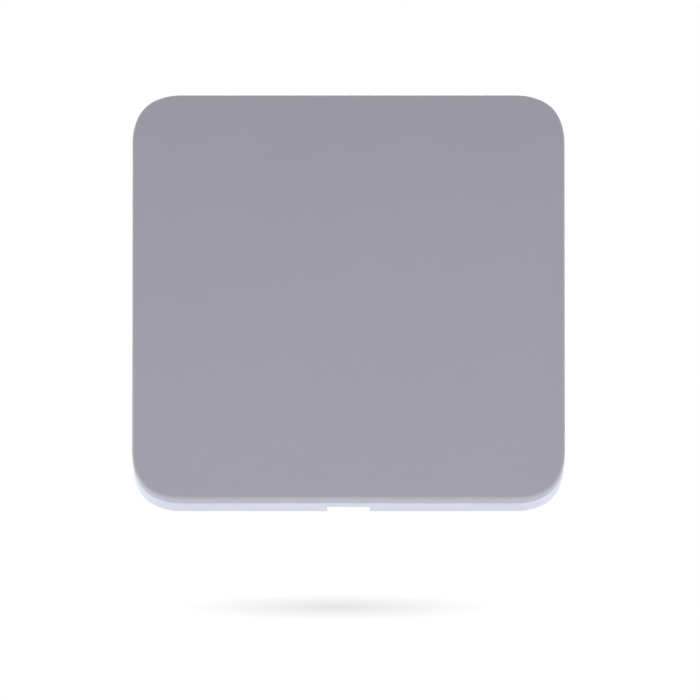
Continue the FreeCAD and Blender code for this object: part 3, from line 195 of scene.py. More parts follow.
# Coin cell's finish: radii and level of its dark seal, rings left by turning, a stain and the gloss
SEAL_RING = (8.56 * MM, 8.95 * MM)
SEAL_LEVEL = -5.0 * MM
TURNING_PITCH = 0.06 * MM   # from a ring's crest to its valley
TURNING_DEPTH = 0.001 * MM
CELL_STAIN = 4 * MM
CELL_GLOSS = (0.24, 0.36)

# Radio board: half-round plated notches along its upper and lower edges
NOTCH_PITCH = 2.0 * MM
NOTCH_RADIUS = 0.32 * MM
NOTCH_COUNT = 8
NOTCH_STEPS = 13
LAND_HALF_WIDTH = 0.6 * MM
LAND_DEPTH = 1.0 * MM

# Meshes: steps along a wire, around it, round a turned piece and along a corner, and the welding distance
WIRE_STEPS = 420
WIRE_SIDES = 20
TURNED_SIDES = 96
CORNER_STEPS = 6
WELD_DISTANCE = 1e-7

# Colours that several pieces share
TIN = (0.7, 0.7, 0.71)
MOULDED_BLACK = (0.03, 0.03, 0.034)
COVER_BLACK = (0.03, 0.03, 0.035)
CHIP_BLACK = (0.026, 0.026, 0.03)


def tree_of(name):
    """A new material with its node tree and its principled shader."""
    material = bpy.data.materials.new(name)
    material.use_nodes = True
    tree = material.node_tree
    return material, tree, tree.nodes["Principled BSDF"]


def object_place(tree, scale=(1, 1, 1)):
    """Object coordinates, stretched by scale along each axis."""
    place = tree.nodes.new("ShaderNodeTexCoord")
    mapping = tree.nodes.new("ShaderNodeMapping")
    mapping.inputs["Scale"].default_value = scale
    tree.links.new(place.outputs["Object"], mapping.inputs["Vector"])
    return mapping.outputs["Vector"]


def along(tree, axis):
    """Object coordinate along one axis."""
    split = tree.nodes.new("ShaderNodeSeparateXYZ")
    tree.links.new(object_place(tree), split.inputs["Vector"])
    return split.outputs[axis]


def from_middle(tree, node, axis):
    """Distance along one axis from the middle of a CAD node's box."""
    index = "XYZ".index(axis)
    low, high = (corner[index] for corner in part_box(node))
    return maths(tree, "ABSOLUTE", maths(tree, "SUBTRACT", along(tree, axis), (low + high) / 2))


def vector_length(tree, vector):
    """Length of a vector."""
    node = tree.nodes.new("ShaderNodeVectorMath")
    node.operation = "LENGTH"
    tree.links.new(vector, node.inputs[0])
    return node.outputs["Value"]


def from_axis(tree, x, z):
    """Distance from an axis along Y through (x, z)."""
    offset = tree.nodes.new("ShaderNodeVectorMath")
    offset.operation = "MULTIPLY_ADD"
    tree.links.new(object_place(tree), offset.inputs[0])
    offset.inputs[1].default_value = (1, 0, 1)
    offset.inputs[2].default_value = (-x, 0, -z)
    return vector_length(tree, offset.outputs["Vector"])


def noise(tree, grain, detail=2.0, roughness=0.5, scale=(1, 1, 1)):
    """Noise with grains of the given size in metres."""
    node = tree.nodes.new("ShaderNodeTexNoise")
    node.inputs["Scale"].default_value = 1 / grain
    node.inputs["Detail"].default_value = detail
    node.inputs["Roughness"].default_value = roughness
    tree.links.new(object_place(tree, scale), node.inputs["Vector"])
    return node.outputs["Fac"]


def cells(tree, size, metric):
    """Distance from the middle of the nearest of many scattered cells, in cell sizes."""
    node = tree.nodes.new("ShaderNodeTexVoronoi")
    node.distance = metric
    node.inputs["Scale"].default_value = 1 / size
    tree.links.new(object_place(tree), node.inputs["Vector"])
    return node.outputs["Distance"]


def ramp(tree, factor, stops):
    """Colours or greys blended along a factor: stops are (position, colour) pairs."""
    node = tree.nodes.new("ShaderNodeValToRGB")
    elements = node.color_ramp.elements
    while len(elements) < len(stops):
        elements.new(0.5)
    for element, (position, colour) in zip(elements, stops):
        element.position = position
        element.color = (*colour, 1) if isinstance(colour, tuple) else (colour, colour, colour, 1)
    tree.links.new(factor, node.inputs["Fac"])
    return node.outputs["Color"]


def spread(tree, factor, low, high, ends=NOISE_RANGE):
    """Noise turned into greys or colours from low to high."""
    return ramp(tree, factor, [(ends[0], low), (ends[1], high)])


def shaded(colour, share):
    """A colour made lighter or darker by a share."""
    return tuple(channel * (1 + share) for channel in colour)


def mottled(tree, factor, colour, darker, lighter, ends=NOISE_RANGE):
    """A colour that noise makes darker and lighter by these shares."""
    return spread(tree, factor, shaded(colour, darker), shaded(colour, lighter), ends)


def maths(tree, operation, *values):
    """Arithmetic on sockets and plain numbers."""
    node = tree.nodes.new("ShaderNodeMath")
    node.operation = operation
    for socket, value in zip(node.inputs, values):
        if isinstance(value, bpy.types.NodeSocket):
            tree.links.new(value, socket)
        else:
            socket.default_value = value
    return node.outputs["Value"]


def all_of(tree, first, *others):
    """1 where each of several factors of 0 or 1 is 1."""
    for other in others:
        first = maths(tree, "MULTIPLY", first, other)
    return first


def mix(tree, factor, first, second):
    """Blend of two colours. Each value is a socket, a plain colour or, for the factor, a plain number."""
    node = tree.nodes.new("ShaderNodeMix")
    node.data_type = "RGBA"
    if isinstance(factor, bpy.types.NodeSocket):
        tree.links.new(factor, node.inputs["Factor"])
    else:
        node.inputs["Factor"].default_value = factor
    for name, value in (("A", first), ("B", second)):
        socket = next(s for s in node.inputs if s.name == name and s.type == "RGBA")
        if isinstance(value, bpy.types.NodeSocket):
            tree.links.new(value, socket)
        else:
            socket.default_value = (*value, 1)
    return next(s for s in node.outputs if s.type == "RGBA")


def bump(tree, shader, height, depth, under=None):
    """Relief of the given depth in metres on a shader, over another relief if one is given."""
    node = tree.nodes.new("ShaderNodeBump")
    node.inputs["Distance"].default_value = depth
    node.inputs["Strength"].default_value = 1.0
    tree.links.new(height, node.inputs["Height"])
    if under is not None:
        tree.links.new(under, node.inputs["Normal"])
    tree.links.new(node.outputs["Normal"], shader.inputs["Normal"])
    return node.outputs["Normal"]


def finish(tree, shader, colour, gloss, metal=None):
    """Puts colour, roughness and, where a factor is given, bare metal on a shader."""
    tree.links.new(colour, shader.inputs["Base Color"])
    tree.links.new(gloss, shader.inputs["Roughness"])
    if metal is not None:
        tree.links.new(metal, shader.inputs["Metallic"])


def moulded_plastic(name, colour, grain, relief, rough, cloud=0.02):
    """Matte moulding: faint clouds in its colour, a fine eroded grain and an uneven gloss."""
    material, tree, shader = tree_of(name)
    clouds = noise(tree, CLOUD_SIZE, detail=3.0)
    fine = noise(tree, grain, detail=3.0, roughness=0.6)
    tint = mottled(tree, clouds, colour, -cloud, cloud)
    speck = mottled(tree, fine, colour, -SPECK_TO_CLOUD * cloud, SPECK_TO_CLOUD * cloud, SPECK_RANGE)
    gloss = spread(tree, fine, rough - GLOSS_SPREAD, rough + GLOSS_SPREAD)
    finish(tree, shader, mix(tree, 0.5, tint, speck), gloss)
    bump(tree, shader, fine, relief)
    return material


def plate_moulding_and_painted_highlight(name, colour, edge, grain, relief, rough):
    """The press plate's matte moulding, a little lighter in a fine line along its rounded front edge, which
    is a painted highlight.

    The line follows the depth behind the face, which is 0 on the face and past the line on the sides.
    """
    material = moulded_plastic(name, colour, grain, relief, rough)
    tree = material.node_tree
    base = tree.nodes["Principled BSDF"].inputs["Base Color"]
    depth = maths(tree, "SUBTRACT", along(tree, "Y"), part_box("press_plate")[0][1])
    # painted highlight: the colour is made lighter along the rounded front edge, standing in for the light
    # that edge catches
    line = ramp(tree, maths(tree, "DIVIDE", depth, EDGE_RADIUS), PAINTED_HIGHLIGHT_LINE)
    tree.links.new(mix(tree, line, base.links[0].from_socket, edge), base)
    return material


def bright_metal(name, colour, rough, stretch=(1, 1, 1)):
    """Metal with fine drawn or rolled marks along one axis and a faint stain."""
    material, tree, shader = tree_of(name)
    shader.inputs["Metallic"].default_value = 1.0
    marks = noise(tree, MARK_SIZE, detail=4.0, roughness=0.6, scale=stretch)
    tint = mottled(tree, noise(tree, STAIN_SIZE), colour, *STAIN_SHARES)
    finish(tree, shader, tint, spread(tree, marks, rough + MARK_GLOSS[0], rough + MARK_GLOSS[1]))
    bump(tree, shader, marks, MARK_DEPTH)
    return material


def edge_lands(tree):
    """1 on the tinned lands round the notches of the radio board, 0 between them and on its middle."""
    low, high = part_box("radio_module_board")
    across = from_middle(tree, "radio_module_board", "X")
    up = from_middle(tree, "radio_module_board", "Z")
    near_notch = maths(tree, "PINGPONG", across, NOTCH_PITCH / 2)
    land = maths(tree, "GREATER_THAN", near_notch, NOTCH_PITCH / 2 - LAND_HALF_WIDTH)
    at_edge = maths(tree, "GREATER_THAN", up, (high[2] - low[2]) / 2 - LAND_DEPTH)
    within_row = maths(tree, "LESS_THAN", across, NOTCH_PITCH * NOTCH_COUNT / 2)
    return all_of(tree, land, at_edge, within_row)


def solder_mask(name, mask, track, notched=False):
    """Green lacquer over copper: nested tracks show through it, with tinned holes or tinned edge lands."""
    material, tree, shader = tree_of(name)
    nested = maths(tree, "PINGPONG", cells(tree, TRACK_CELL, "CHEBYCHEV"), TRACK_PITCH)
    tracks = maths(tree, "LESS_THAN", nested, TRACK_WIDTH)
    if notched:
        tinned = edge_lands(tree)
    else:
        tinned = maths(tree, "LESS_THAN", cells(tree, HOLE_CELL, "EUCLIDEAN"), HOLE_SHARE)
    weave = noise(tree, WEAVE, detail=1.0)
    lacquer = mix(tree, tracks, mottled(tree, weave, mask, -WEAVE_SHARE, WEAVE_SHARE), track)
    finish(tree, shader, mix(tree, tinned, lacquer, TIN), spread(tree, weave, *LACQUER_GLOSS), tinned)
    shader.inputs["Coat Weight"].default_value = LACQUER_COAT
    bump(tree, shader, maths(tree, "MAXIMUM", tracks, tinned), TRACK_RISE)
    return material


def cell_finish(name, colour):
    """Bright nickel with turned rings round the cell's axis and a dark plastic seal in its groove."""
    material, tree, shader = tree_of(name)
    radius = from_axis(tree, *CELL_PLACE)
    outside = maths(tree, "GREATER_THAN", radius, SEAL_RING[0])
    within = maths(tree, "LESS_THAN", radius, SEAL_RING[1])
    cap_side = maths(tree, "LESS_THAN", along(tree, "Y"), SEAL_LEVEL)
    sealed = all_of(tree, outside, within, cap_side)
    stain = noise(tree, CELL_STAIN, detail=3.0)
    colours = mix(tree, sealed, mottled(tree, stain, colour, *STAIN_SHARES), COVER_BLACK)
    bare = maths(tree, "SUBTRACT", 1.0, sealed)
    finish(tree, shader, colours, spread(tree, stain, *CELL_GLOSS), bare)
    rings = maths(tree, "PINGPONG", radius, TURNING_PITCH)
    bump(tree, shader, maths(tree, "DIVIDE", rings, TURNING_PITCH), TURNING_DEPTH)
    return material


def leadless_chip(name, node, resin, pitch, dot):
    """Moulded chip with tinned lands along the foot of its sides and a round mark in a corner of its top."""
    low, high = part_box(node)
    material, tree, shader = tree_of(name)
    foot = maths(tree, "LESS_THAN", along(tree, "Y"), low[1] + FOOT_HEIGHT)
    nearer = maths(tree, "MINIMUM", from_middle(tree, node, "X"), from_middle(tree, node, "Z"))
    comb = maths(tree, "LESS_THAN", maths(tree, "PINGPONG", nearer, pitch / 2), pitch / 4)
    inside = maths(tree, "LESS_THAN", nearer, LAND_REACH * (high[0] - low[0]) / 2)
    lands = all_of(tree, foot, comb, inside)
    fine = noise(tree, RESIN_GRAIN, detail=3.0)
    marked = maths(tree, "LESS_THAN", from_axis(tree, *dot), DOT_RADIUS)
    plain = mottled(tree, fine, resin, -RESIN_CLOUD, RESIN_CLOUD)
    topped = mix(tree, marked, plain, shaded(resin, DOT_LIGHTER))
    finish(tree, shader, mix(tree, lands, topped, TIN), spread(tree, fine, *CHIP_GLOSS), lands)
    relief = bump(tree, shader, fine, RESIN_RELIEF)
    bump(tree, shader, maths(tree, "SUBTRACT", 1.0, marked), DOT_DEPTH, under=relief)
    return material


def header_finish(name, strip, gilt):
    """Black strip with gilt pins: gilt wherever the piece stands higher over the board than its strip."""
    pin_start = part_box("circuit_board")[1][1] + PIN_START * STRIP_HEIGHT
    material, tree, shader = tree_of(name)
    pins = maths(tree, "GREATER_THAN", along(tree, "Y"), pin_start)
    fine = noise(tree, STRIP_GRAIN, detail=3.0)
    colours = mix(tree, pins, mottled(tree, fine, strip, -RESIN_CLOUD, RESIN_CLOUD), gilt)
    finish(tree, shader, colours, spread(tree, fine, *STRIP_GLOSS), pins)
    bump(tree, shader, fine, RESIN_RELIEF)
    return material


def end_capped_chips(name, body, pitch, first, half_body):
    """Row of small ceramic blocks, tinned where they lie half_body or more from their middles along X."""
    material, tree, shader = tree_of(name)
    shifted = maths(tree, "SUBTRACT", along(tree, "X"), first - pitch / 2)
    within = maths(tree, "FLOORED_MODULO", shifted, pitch)
    off_middle = maths(tree, "ABSOLUTE", maths(tree, "SUBTRACT", within, pitch / 2))
    ends = maths(tree, "GREATER_THAN", off_middle, half_body)
    fine = noise(tree, CERAMIC_GRAIN)
    colours = mix(tree, ends, mottled(tree, fine, body, -RESIN_CLOUD, RESIN_CLOUD), TIN)
    finish(tree, shader, colours, spread(tree, fine, *CERAMIC_GLOSS), ends)
    bump(tree, shader, fine, CERAMIC_RELIEF)
    return material


def end_capped_block(name, node, body, share):
    """One block with tinned ends along X, which start at the given share of its half length."""
    low, high = (corner[0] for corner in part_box(node))
    half = (high - low) / 2
    pitch = 4 * half   # so wide that the row holds this block alone
    return end_capped_chips(name, body, pitch, (low + high) / 2, share * half)


def dress(material, *names):
    """Gives CAD nodes their material."""
    for name in names:
        for material_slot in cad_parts[name].material_slots:
            material_slot.material = material


def grid_faces(rows, columns, start):
    """Quads of a grid of points, numbered row by row from start and closed along its columns."""
    row, column = np.meshgrid(np.arange(rows - 1), np.arange(columns), indexing="ij")
    here = start + row * columns + column
    beside = start + row * columns + (column + 1) % columns
    return np.stack([here, beside, beside + columns, here + columns], axis=-1).reshape(-1, 4)


def piece(name, body, material, grids, stands_for, crease=35):
    """One mesh from grids of points (rows, columns, 3), welded at its seams and poles, on a CAD body.

    Each grid is closed along its columns. A row whose points all meet is a pole.
    """
    points, quads, start = [], [], 0
    for grid in grids:
        rows, columns = grid.shape[:2]
        points.append(grid.reshape(-1, 3))
        quads.append(grid_faces(rows, columns, start))
        start += rows * columns
    mesh = bpy.data.meshes.new(name)
    mesh.from_pydata(np.concatenate(points), [], np.concatenate(quads))
    welded = bmesh.new()
    welded.from_mesh(mesh)
    bmesh.ops.remove_doubles(welded, verts=welded.verts, dist=WELD_DISTANCE)
    bmesh.ops.recalc_face_normals(welded, faces=welded.faces)
    welded.to_mesh(mesh)
    welded.free()
    mesh.shade_smooth()
    mesh.set_sharp_from_angle(angle=math.radians(crease))
    mesh.materials.append(material)
    made = bpy.data.objects.new(name, mesh)
    bpy.context.scene.collection.objects.link(made)
    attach(made, body)
    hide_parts(*stands_for)
    return made


def turned(profile, x, z):
    """Surface of revolution about an axis along Y through (x, z).

    Row v is the circle of radius profile[v, 0] at y = profile[v, 1].
    """
    profile = np.asarray(profile, float)
    turn = np.linspace(0, 2 * np.pi, TURNED_SIDES, endpoint=False)
    radius, level = profile[:, :1], profile[:, 1:]
    across = x + radius * np.cos(turn)
    up = z + radius * np.sin(turn)
    return np.stack([across, np.broadcast_to(level, across.shape), up], axis=-1)


def rounded_corners(corners, radii):
    """Profile through corners, all but the first and the last one rounded by a quadratic blend.

    The blend runs between the two points of the profile that lie the corner's radius away from it.
    """
    corners = np.asarray(corners, float)
    rows = [corners[:1]]
    share = np.linspace(0, 1, CORNER_STEPS)[:, None]
    for before, corner, after, radius in zip(corners[:-2], corners[1:-1], corners[2:], radii):
        back, onward = before - corner, after - corner
        start = corner + back * (radius / np.linalg.norm(back))
        end = corner + onward * (radius / np.linalg.norm(onward))
        rows.append((1 - share) ** 2 * start + 2 * share * (1 - share) * corner + share**2 * end)
    rows.append(corners[-1:])
    return np.concatenate(rows)


def coil_wire(path, axis_point, way, radius):
    """Round wire along a coil, a circle square to it at each point and a pole at each end.

    The circle's first axis points away from the coil's axis, which runs through axis_point along way.
    """
    heading = np.gradient(path, axis=0)
    heading /= np.linalg.norm(heading, axis=1, keepdims=True)
    aside = path - axis_point
    aside -= np.outer(aside @ way, way)
    aside -= (aside * heading).sum(axis=1, keepdims=True) * heading
    aside /= np.linalg.norm(aside, axis=1, keepdims=True)
    other = np.cross(heading, aside)
    turn = np.linspace(0, 2 * np.pi, WIRE_SIDES, endpoint=False)[None, :, None]
    ring = aside[:, None] * np.cos(turn) + other[:, None] * np.sin(turn)
    low = np.repeat(path[:1, None], WIRE_SIDES, axis=1)
    high = np.repeat(path[-1:, None], WIRE_SIDES, axis=1)
    return np.concatenate([low, path[:, None] + radius * ring, high])


def return_spring(name, material):
    """Compression spring with closed end turns between the deck's cup and the plate.

    The angle runs evenly over all turns. The height has a small share that grows with the angle, and the rest
    stays still along the dead turns at both ends and grows between them.
    """
    low, high = (np.array(corner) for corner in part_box(name))
    centre = (low + high) / 2
    coil = (high[2] - low[2] - SPRING_WIRE) / 2
    turns = np.linspace(0, SPRING_TURNS, WIRE_STEPS)
    active = SPRING_TURNS - 2 * SPRING_DEAD_TURNS
    live = np.clip((turns - SPRING_DEAD_TURNS) / active, 0, 1)
    rise = (1 - SPRING_CREEP) * live + SPRING_CREEP * turns / SPRING_TURNS
    level = (high[1] - SPRING_WIRE / 2) + (low[1] - high[1] + SPRING_WIRE) * rise
    angle = 2 * np.pi * turns
    path = np.stack([centre[0] + coil * np.cos(angle), level, centre[2] + coil * np.sin(angle)], axis=-1)
    tube = coil_wire(path, centre, np.array([0, 1, 0]), SPRING_WIRE / 2)
    made = piece(name + "_coil", "front_unit", material, [tube], [name])
    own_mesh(made)
    return made


def antenna_coil(material):
    """Close-wound aerial wire with two straight feet on the board.

    The place along X grows evenly with the angle. Each foot goes straight on from its end of the coil.
    """
    board_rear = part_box("circuit_board")[1][1]
    axis_level, axis_height = ANTENNA_AXIS
    turns = np.linspace(0, ANTENNA_TURNS, WIRE_STEPS)
    angle = 2 * np.pi * turns
    across = ANTENNA_REACH[0] + (ANTENNA_REACH[1] - ANTENNA_REACH[0]) * turns / ANTENNA_TURNS
    level = axis_level + ANTENNA_COIL * np.sin(angle)
    coil = np.stack([across, level, axis_height + ANTENNA_COIL * np.cos(angle)], axis=-1)
    run = np.linspace(0, axis_level - board_rear, FOOT_STEPS)[1:, None]
    start_heading, end_heading = coil[0] - coil[1], coil[-1] - coil[-2]
    first_foot = coil[0] + run[::-1] * start_heading / abs(start_heading[1])
    last_foot = coil[-1] + run * end_heading / abs(end_heading[1])
    path = np.concatenate([first_foot, coil, last_foot])
    axis_point = np.array([0, axis_level, axis_height])
    tube = coil_wire(path, axis_point, np.array([1, 0, 0]), ANTENNA_WIRE / 2)
    return piece("antenna_coil", "front_unit", material, [tube], ["helical_antenna"])


def cross_outline():
    """Angles and radii of the cross recess: at each angle, the farther of a level and an upright bar's edges.

    Each quarter of the angles runs over the end of one bar and by way of the inner corner to the next bar.
    """
    corner = math.atan2(CROSS_HALF_WIDTH, CROSS_REACH)
    keys = np.array([-corner, corner, math.pi / 4, math.pi / 2 - corner])
    stretches = [np.linspace(a, b, CROSS_STEPS, endpoint=False) for a, b in zip(keys[:-1], keys[1:])]
    angle = np.concatenate([np.concatenate(stretches) + k * math.pi / 2 for k in range(4)])
    across, up = np.maximum(np.abs([np.cos(angle), np.sin(angle)]), TINY)
    level_bar = np.minimum(CROSS_REACH / across, CROSS_HALF_WIDTH / up)
    upright_bar = np.minimum(CROSS_REACH / up, CROSS_HALF_WIDTH / across)
    return angle, np.maximum(level_bar, upright_bar)


def board_screw(x, z):
    """Cheese-head screw: rings from the bottom of the cross recess over the head and down the threaded shank.

    The head's rings run from the recess's outline to a circle. The thread is a wave in the shank's radius,
    whose phase follows the angle and the depth.
    """
    head_top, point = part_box("board_screws")[1][1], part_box("board_screws")[0][1]
    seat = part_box("circuit_board")[1][1]
    angle, cross = cross_outline()
    rim = [(HEAD_FLAT, head_top), (HEAD_RADIUS, head_top), (HEAD_RADIUS, seat), (SHANK_RADIUS, seat)]
    rim = rounded_corners(rim, [HEAD_ROUND, SEAT_ROUND])
    shank = np.linspace(seat - THREAD_RUN_IN, point + POINT_LENGTH, THREAD_ROWS)
    wave = 0.5 - 0.5 * np.cos(angle + 2 * np.pi * shank[:, None] / THREAD_PITCH)
    radii = [share * cross for share, _ in CROSS_RINGS] + [np.full_like(angle, radius) for radius, _ in rim]
    radii += list(SHANK_RADIUS - THREAD_DEPTH * wave) + [np.full_like(angle, POINT_RADIUS), 0 * cross]
    levels = [head_top - depth for _, depth in CROSS_RINGS] + [level for _, level in rim]
    levels += list(shank) + [point, point]
    radius, level = np.array(radii), np.array(levels)[:, None]
    places = [x + radius * np.cos(angle), np.broadcast_to(level, radius.shape), z + radius * np.sin(angle)]
    return np.stack(places, axis=-1)


def coin_cell(material):
    """Turned cell with its stepped cap towards the board.

    Its profile runs over the cap, the seal in its groove, the crimped can and the shallow ring in its base.
    """
    low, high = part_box("coin_cell")
    front, rear = low[1], high[1]
    step = front + CELL_STEP
    ring_floor = rear - BASE_RING_DEPTH
    corners = [(0, front), (CAP_RADIUS, front), (CAP_RADIUS, step + SEAL_DROP)]
    corners += [(radius, step + drop) for radius, drop in CAN_LIP]
    corners += [(CELL_RADIUS, step), (CELL_RADIUS, rear)]
    corners += list(zip(BASE_RING, (rear, ring_floor, ring_floor, rear))) + [(0, rear)]
    radii = [CAP_ROUND, *SEAL_ROUNDS, *CAN_ROUNDS] + [BASE_RING_ROUND] * len(BASE_RING)
    shell = turned(rounded_corners(corners, radii), *CELL_PLACE)
    return piece("coin_cell_can", "front_unit", material, [shell], ["coin_cell"], crease=50)


def switch_dome(material):
    """Thin click dome, over and under: its height follows the cosine of the way from middle to rim."""
    low, high = (np.array(corner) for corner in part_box("press_switch_dome"))
    reach, crown, floor = (high[0] - low[0]) / 2, low[1], high[1]
    way = np.linspace(0, 1, DOME_ROWS)
    fall = 1 - np.cos(way * math.pi / 2)
    over = np.stack([reach * way, crown + (floor - crown) * fall], axis=-1)
    under_levels = crown + DOME_WALL + (floor - crown - DOME_WALL) * fall
    under = np.stack([(reach - DOME_WALL) * way, under_levels], axis=-1)[::-1]
    shell = turned(np.concatenate([over, under]), 0, 0)
    stands_for = ["press_switch_dome"]
    made = piece("click_dome", "front_unit", material, [shell], stands_for, crease=60)
    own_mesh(made)
    return made


def radio_board(material):
    """Small board with half-round notches: a rectangle carried along X, whose upper and lower sides draw in.

    In a notch a side draws in by the height of a half circle, at even steps along that half circle.
    """
    low, high = (np.array(corner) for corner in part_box("radio_module_board"))
    middle = (low[0] + high[0]) / 2
    centres = middle + NOTCH_PITCH * (np.arange(NOTCH_COUNT) - (NOTCH_COUNT - 1) / 2)
    swing = np.linspace(0, np.pi, NOTCH_STEPS)
    across = (centres[:, None] - NOTCH_RADIUS * np.cos(swing)).ravel()
    drawn_in = np.tile(NOTCH_RADIUS * np.sin(swing), NOTCH_COUNT)
    across = np.concatenate([[low[0], low[0]], across, [high[0], high[0]]])
    drawn_in = np.concatenate([[0, 0], drawn_in, [0, 0]])
    lower, upper = low[2] + drawn_in, high[2] - drawn_in
    sides = [(low[1], lower), (high[1], lower), (high[1], upper), (low[1], upper)]
    rows = [np.stack([across, np.full_like(across, level), height], axis=-1) for level, height in sides]
    block = np.stack(rows, axis=1)
    block[0] = block[0].mean(axis=0)
    block[-1] = block[-1].mean(axis=0)
    stands_for = ["radio_module_board"]
    return piece("radio_board_notched", "front_unit", material, [block], stands_for)


def seen_directly(tree):
    """1 for rays from the camera, in a mirror or through glass, 0 for light on the object."""
    path = tree.nodes.new("ShaderNodeLightPath")
    either = maths(tree, "MAXIMUM", path.outputs["Is Camera Ray"], path.outputs["Is Glossy Ray"])
    return maths(tree, "MAXIMUM", either, path.outputs["Is Transmission Ray"])


def painted_shadow_share(tree):
    """1 in the middle of the faint painted oval shadow, falling nearly evenly to 0 at its rim."""
    place = tree.nodes.new("ShaderNodeTexCoord")
    mapping = tree.nodes.new("ShaderNodeMapping")
    mapping.vector_type = "TEXTURE"
    mapping.inputs["Location"].default_value = OVAL_MIDDLE
    mapping.inputs["Scale"].default_value = (*OVAL_REACH, 1)
    tree.links.new(place.outputs["Object"], mapping.inputs["Vector"])
    off_middle = maths(tree, "MINIMUM", vector_length(tree, mapping.outputs["Vector"]), 1.0)
    return maths(tree, "POWER", maths(tree, "SUBTRACT", 1.0, off_middle), OVAL_FALL)


def glow(tree, strength):
    """Even white glow."""
    node = tree.nodes.new("ShaderNodeEmission")
    tree.links.new(strength, node.inputs["Strength"])
    return node.outputs["Emission"]


def shader_blend(tree, factor, first, second):
    """Two shaders blended by a factor."""
    node = tree.nodes.new("ShaderNodeMixShader")
    tree.links.new(factor, node.inputs["Fac"])
    tree.links.new(first, node.inputs[1])
    tree.links.new(second, node.inputs[2])
    return node.outputs["Shader"]


def sheet_finish():
    """White matt paper that shows the object's real shadow from above, and a faint painted oval shadow from
    below.

    It glows a little where it is seen, so that it meets the white sky. Far from the object it only glows.
    """
    material, tree, shader = tree_of("white_sheet")
    tree.nodes.remove(shader)
    paper = tree.nodes.new("ShaderNodeBsdfDiffuse")
    tree.links.new(spread(tree, noise(tree, PAPER_FIBRE, detail=3.0), *PAPER_GREYS), paper.inputs["Color"])
    lit = tree.nodes.new("ShaderNodeAddShader")
    tree.links.new(paper.outputs["BSDF"], lit.inputs[0])
    tree.links.new(glow(tree, maths(tree, "MULTIPLY", seen_directly(tree), SHEET_GLOW)), lit.inputs[1])
    near, far = SHEET_FADE
    past_near = maths(tree, "SUBTRACT", vector_length(tree, object_place(tree)), near)
    faded = ramp(tree, maths(tree, "DIVIDE", past_near, far - near), [(0.0, 0.0), (1.0, 1.0)])
    top = shader_blend(tree, faded, lit.outputs["Shader"], glow(tree, seen_directly(tree)))
    under = tree.nodes.new("ShaderNodeBsdfTransparent")
    # painted shadow: the clear underside is tinted darker in an oval under the object
    tree.links.new(mix(tree, painted_shadow_share(tree), (1, 1, 1), (1 - PAINTED_SHADOW_DEPTH,) * 3), under.inputs["Color"])
    side = tree.nodes.new("ShaderNodeNewGeometry")
    both = shader_blend(tree, side.outputs["Backfacing"], top, under.outputs["BSDF"])
    tree.links.new(both, tree.nodes["Material Output"].inputs["Surface"])
    return material


def sheet():
    """Flat sheet under the object. The lamps below shine through it, and it throws no light back up."""
    half = SHEET_SIDE / 2
    mesh = bpy.data.meshes.new("studio_sheet")
    corners = [(x, y, SHEET_LEVEL) for x, y in ((-half, -half), (half, -half), (half, half), (-half, half))]
    mesh.from_pydata(corners, [], [(0, 1, 2, 3)])
    mesh.materials.append(sheet_finish())
    made = bpy.data.objects.new("studio_sheet", mesh)
    made.visible_shadow = False
    made.visible_diffuse = False
    bpy.context.scene.collection.objects.link(made)


def sky():
    """Even sky that is white where it is seen and dimmer where it lights the object."""
    world = bpy.data.worlds.new("studio_sky")
    world.use_nodes = True
    tree = world.node_tree
    background = tree.nodes["Background"]
    strength = maths(tree, "MULTIPLY_ADD", seen_directly(tree), 1 - SKY_LEVEL, SKY_LEVEL)
    tree.links.new(strength, background.inputs["Strength"])
    background.inputs["Color"].default_value = (1, 1, 1, 1)
    bpy.context.scene.world = world


def camera():
    """Long lens from far away, looking up by the view's rise at the middle of the picture.

    The lens follows from the picture's width at the face and the distance to the face.
    """
    data = bpy.data.cameras.new("photo_camera")
    data.sensor_width = SENSOR_WIDTH
    face_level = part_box("press_plate")[0][1]
    distance_to_face = CAMERA_DISTANCE - (AIM[1] - face_level) * math.cos(VIEW_RISE)
    data.lens = SENSOR_WIDTH * distance_to_face / FIELD_WIDTH
    data.clip_start, data.clip_end = CLIP_RANGE
    made = bpy.data.objects.new("photo_camera", data)
    back = np.array([0, -math.cos(VIEW_RISE), -math.sin(VIEW_RISE)])
    made.location = np.array(AIM) + CAMERA_DISTANCE * back
    made.rotation_euler = (math.pi / 2 + VIEW_RISE, 0, 0)
    bpy.context.scene.collection.objects.link(made)
    bpy.context.scene.camera = made


def aimed(direction):
    """Euler angles that turn a lamp's -Z axis from the given direction back to the origin."""
    x, y, z = direction
    return (math.acos(z), 0, math.atan2(y, x) + math.pi / 2)


def lamp(name, way, distance, width, height, level, tint=(1, 1, 1)):
    """Soft lamp in the direction way from the object.

    Its energy lights a white face square to it at about the given level, if the lamp is far for its size.
    """
    data = bpy.data.lights.new(name, "AREA")
    data.shape = "RECTANGLE"
    data.size, data.size_y = width, height
    data.energy = level * (math.pi * distance) ** 2
    data.color = tint
    made = bpy.data.objects.new(name, data)
    direction = np.array(way, float) / np.linalg.norm(way)
    made.location = direction * distance
    made.rotation_euler = aimed(direction)
    made.visible_camera = False
    bpy.context.scene.collection.objects.link(made)


camera()
sky()
sheet()

# Lamps: name, way from the object, distance, width, height, level and tint
lamp("lamp_below", (0.0, 0.0, -1.0), 0.6, 0.5, 0.5, level=0.11, tint=(0.52, 1.08, 1.6))
lamp("lamp_key", (0.0, -0.62, -0.78), 0.9, 0.2, 0.2, level=0.235, tint=(1.12, 1.0, 0.9))
lamp("lamp_strip", (0.0, -0.97, -0.24), 0.16, 0.6, 0.05, level=0.292)
lamp("lamp_left_back", (-0.88, 0.47, 0.04), 1.2, 0.8, 0.8, level=0.43)
lamp("lamp_right_back", (0.88, 0.47, 0.04), 1.2, 0.8, 0.8, level=0.41)
lamp("lamp_top_back", (0.1, 0.5, 0.86), 1.2, 0.7, 0.7, level=0.48)
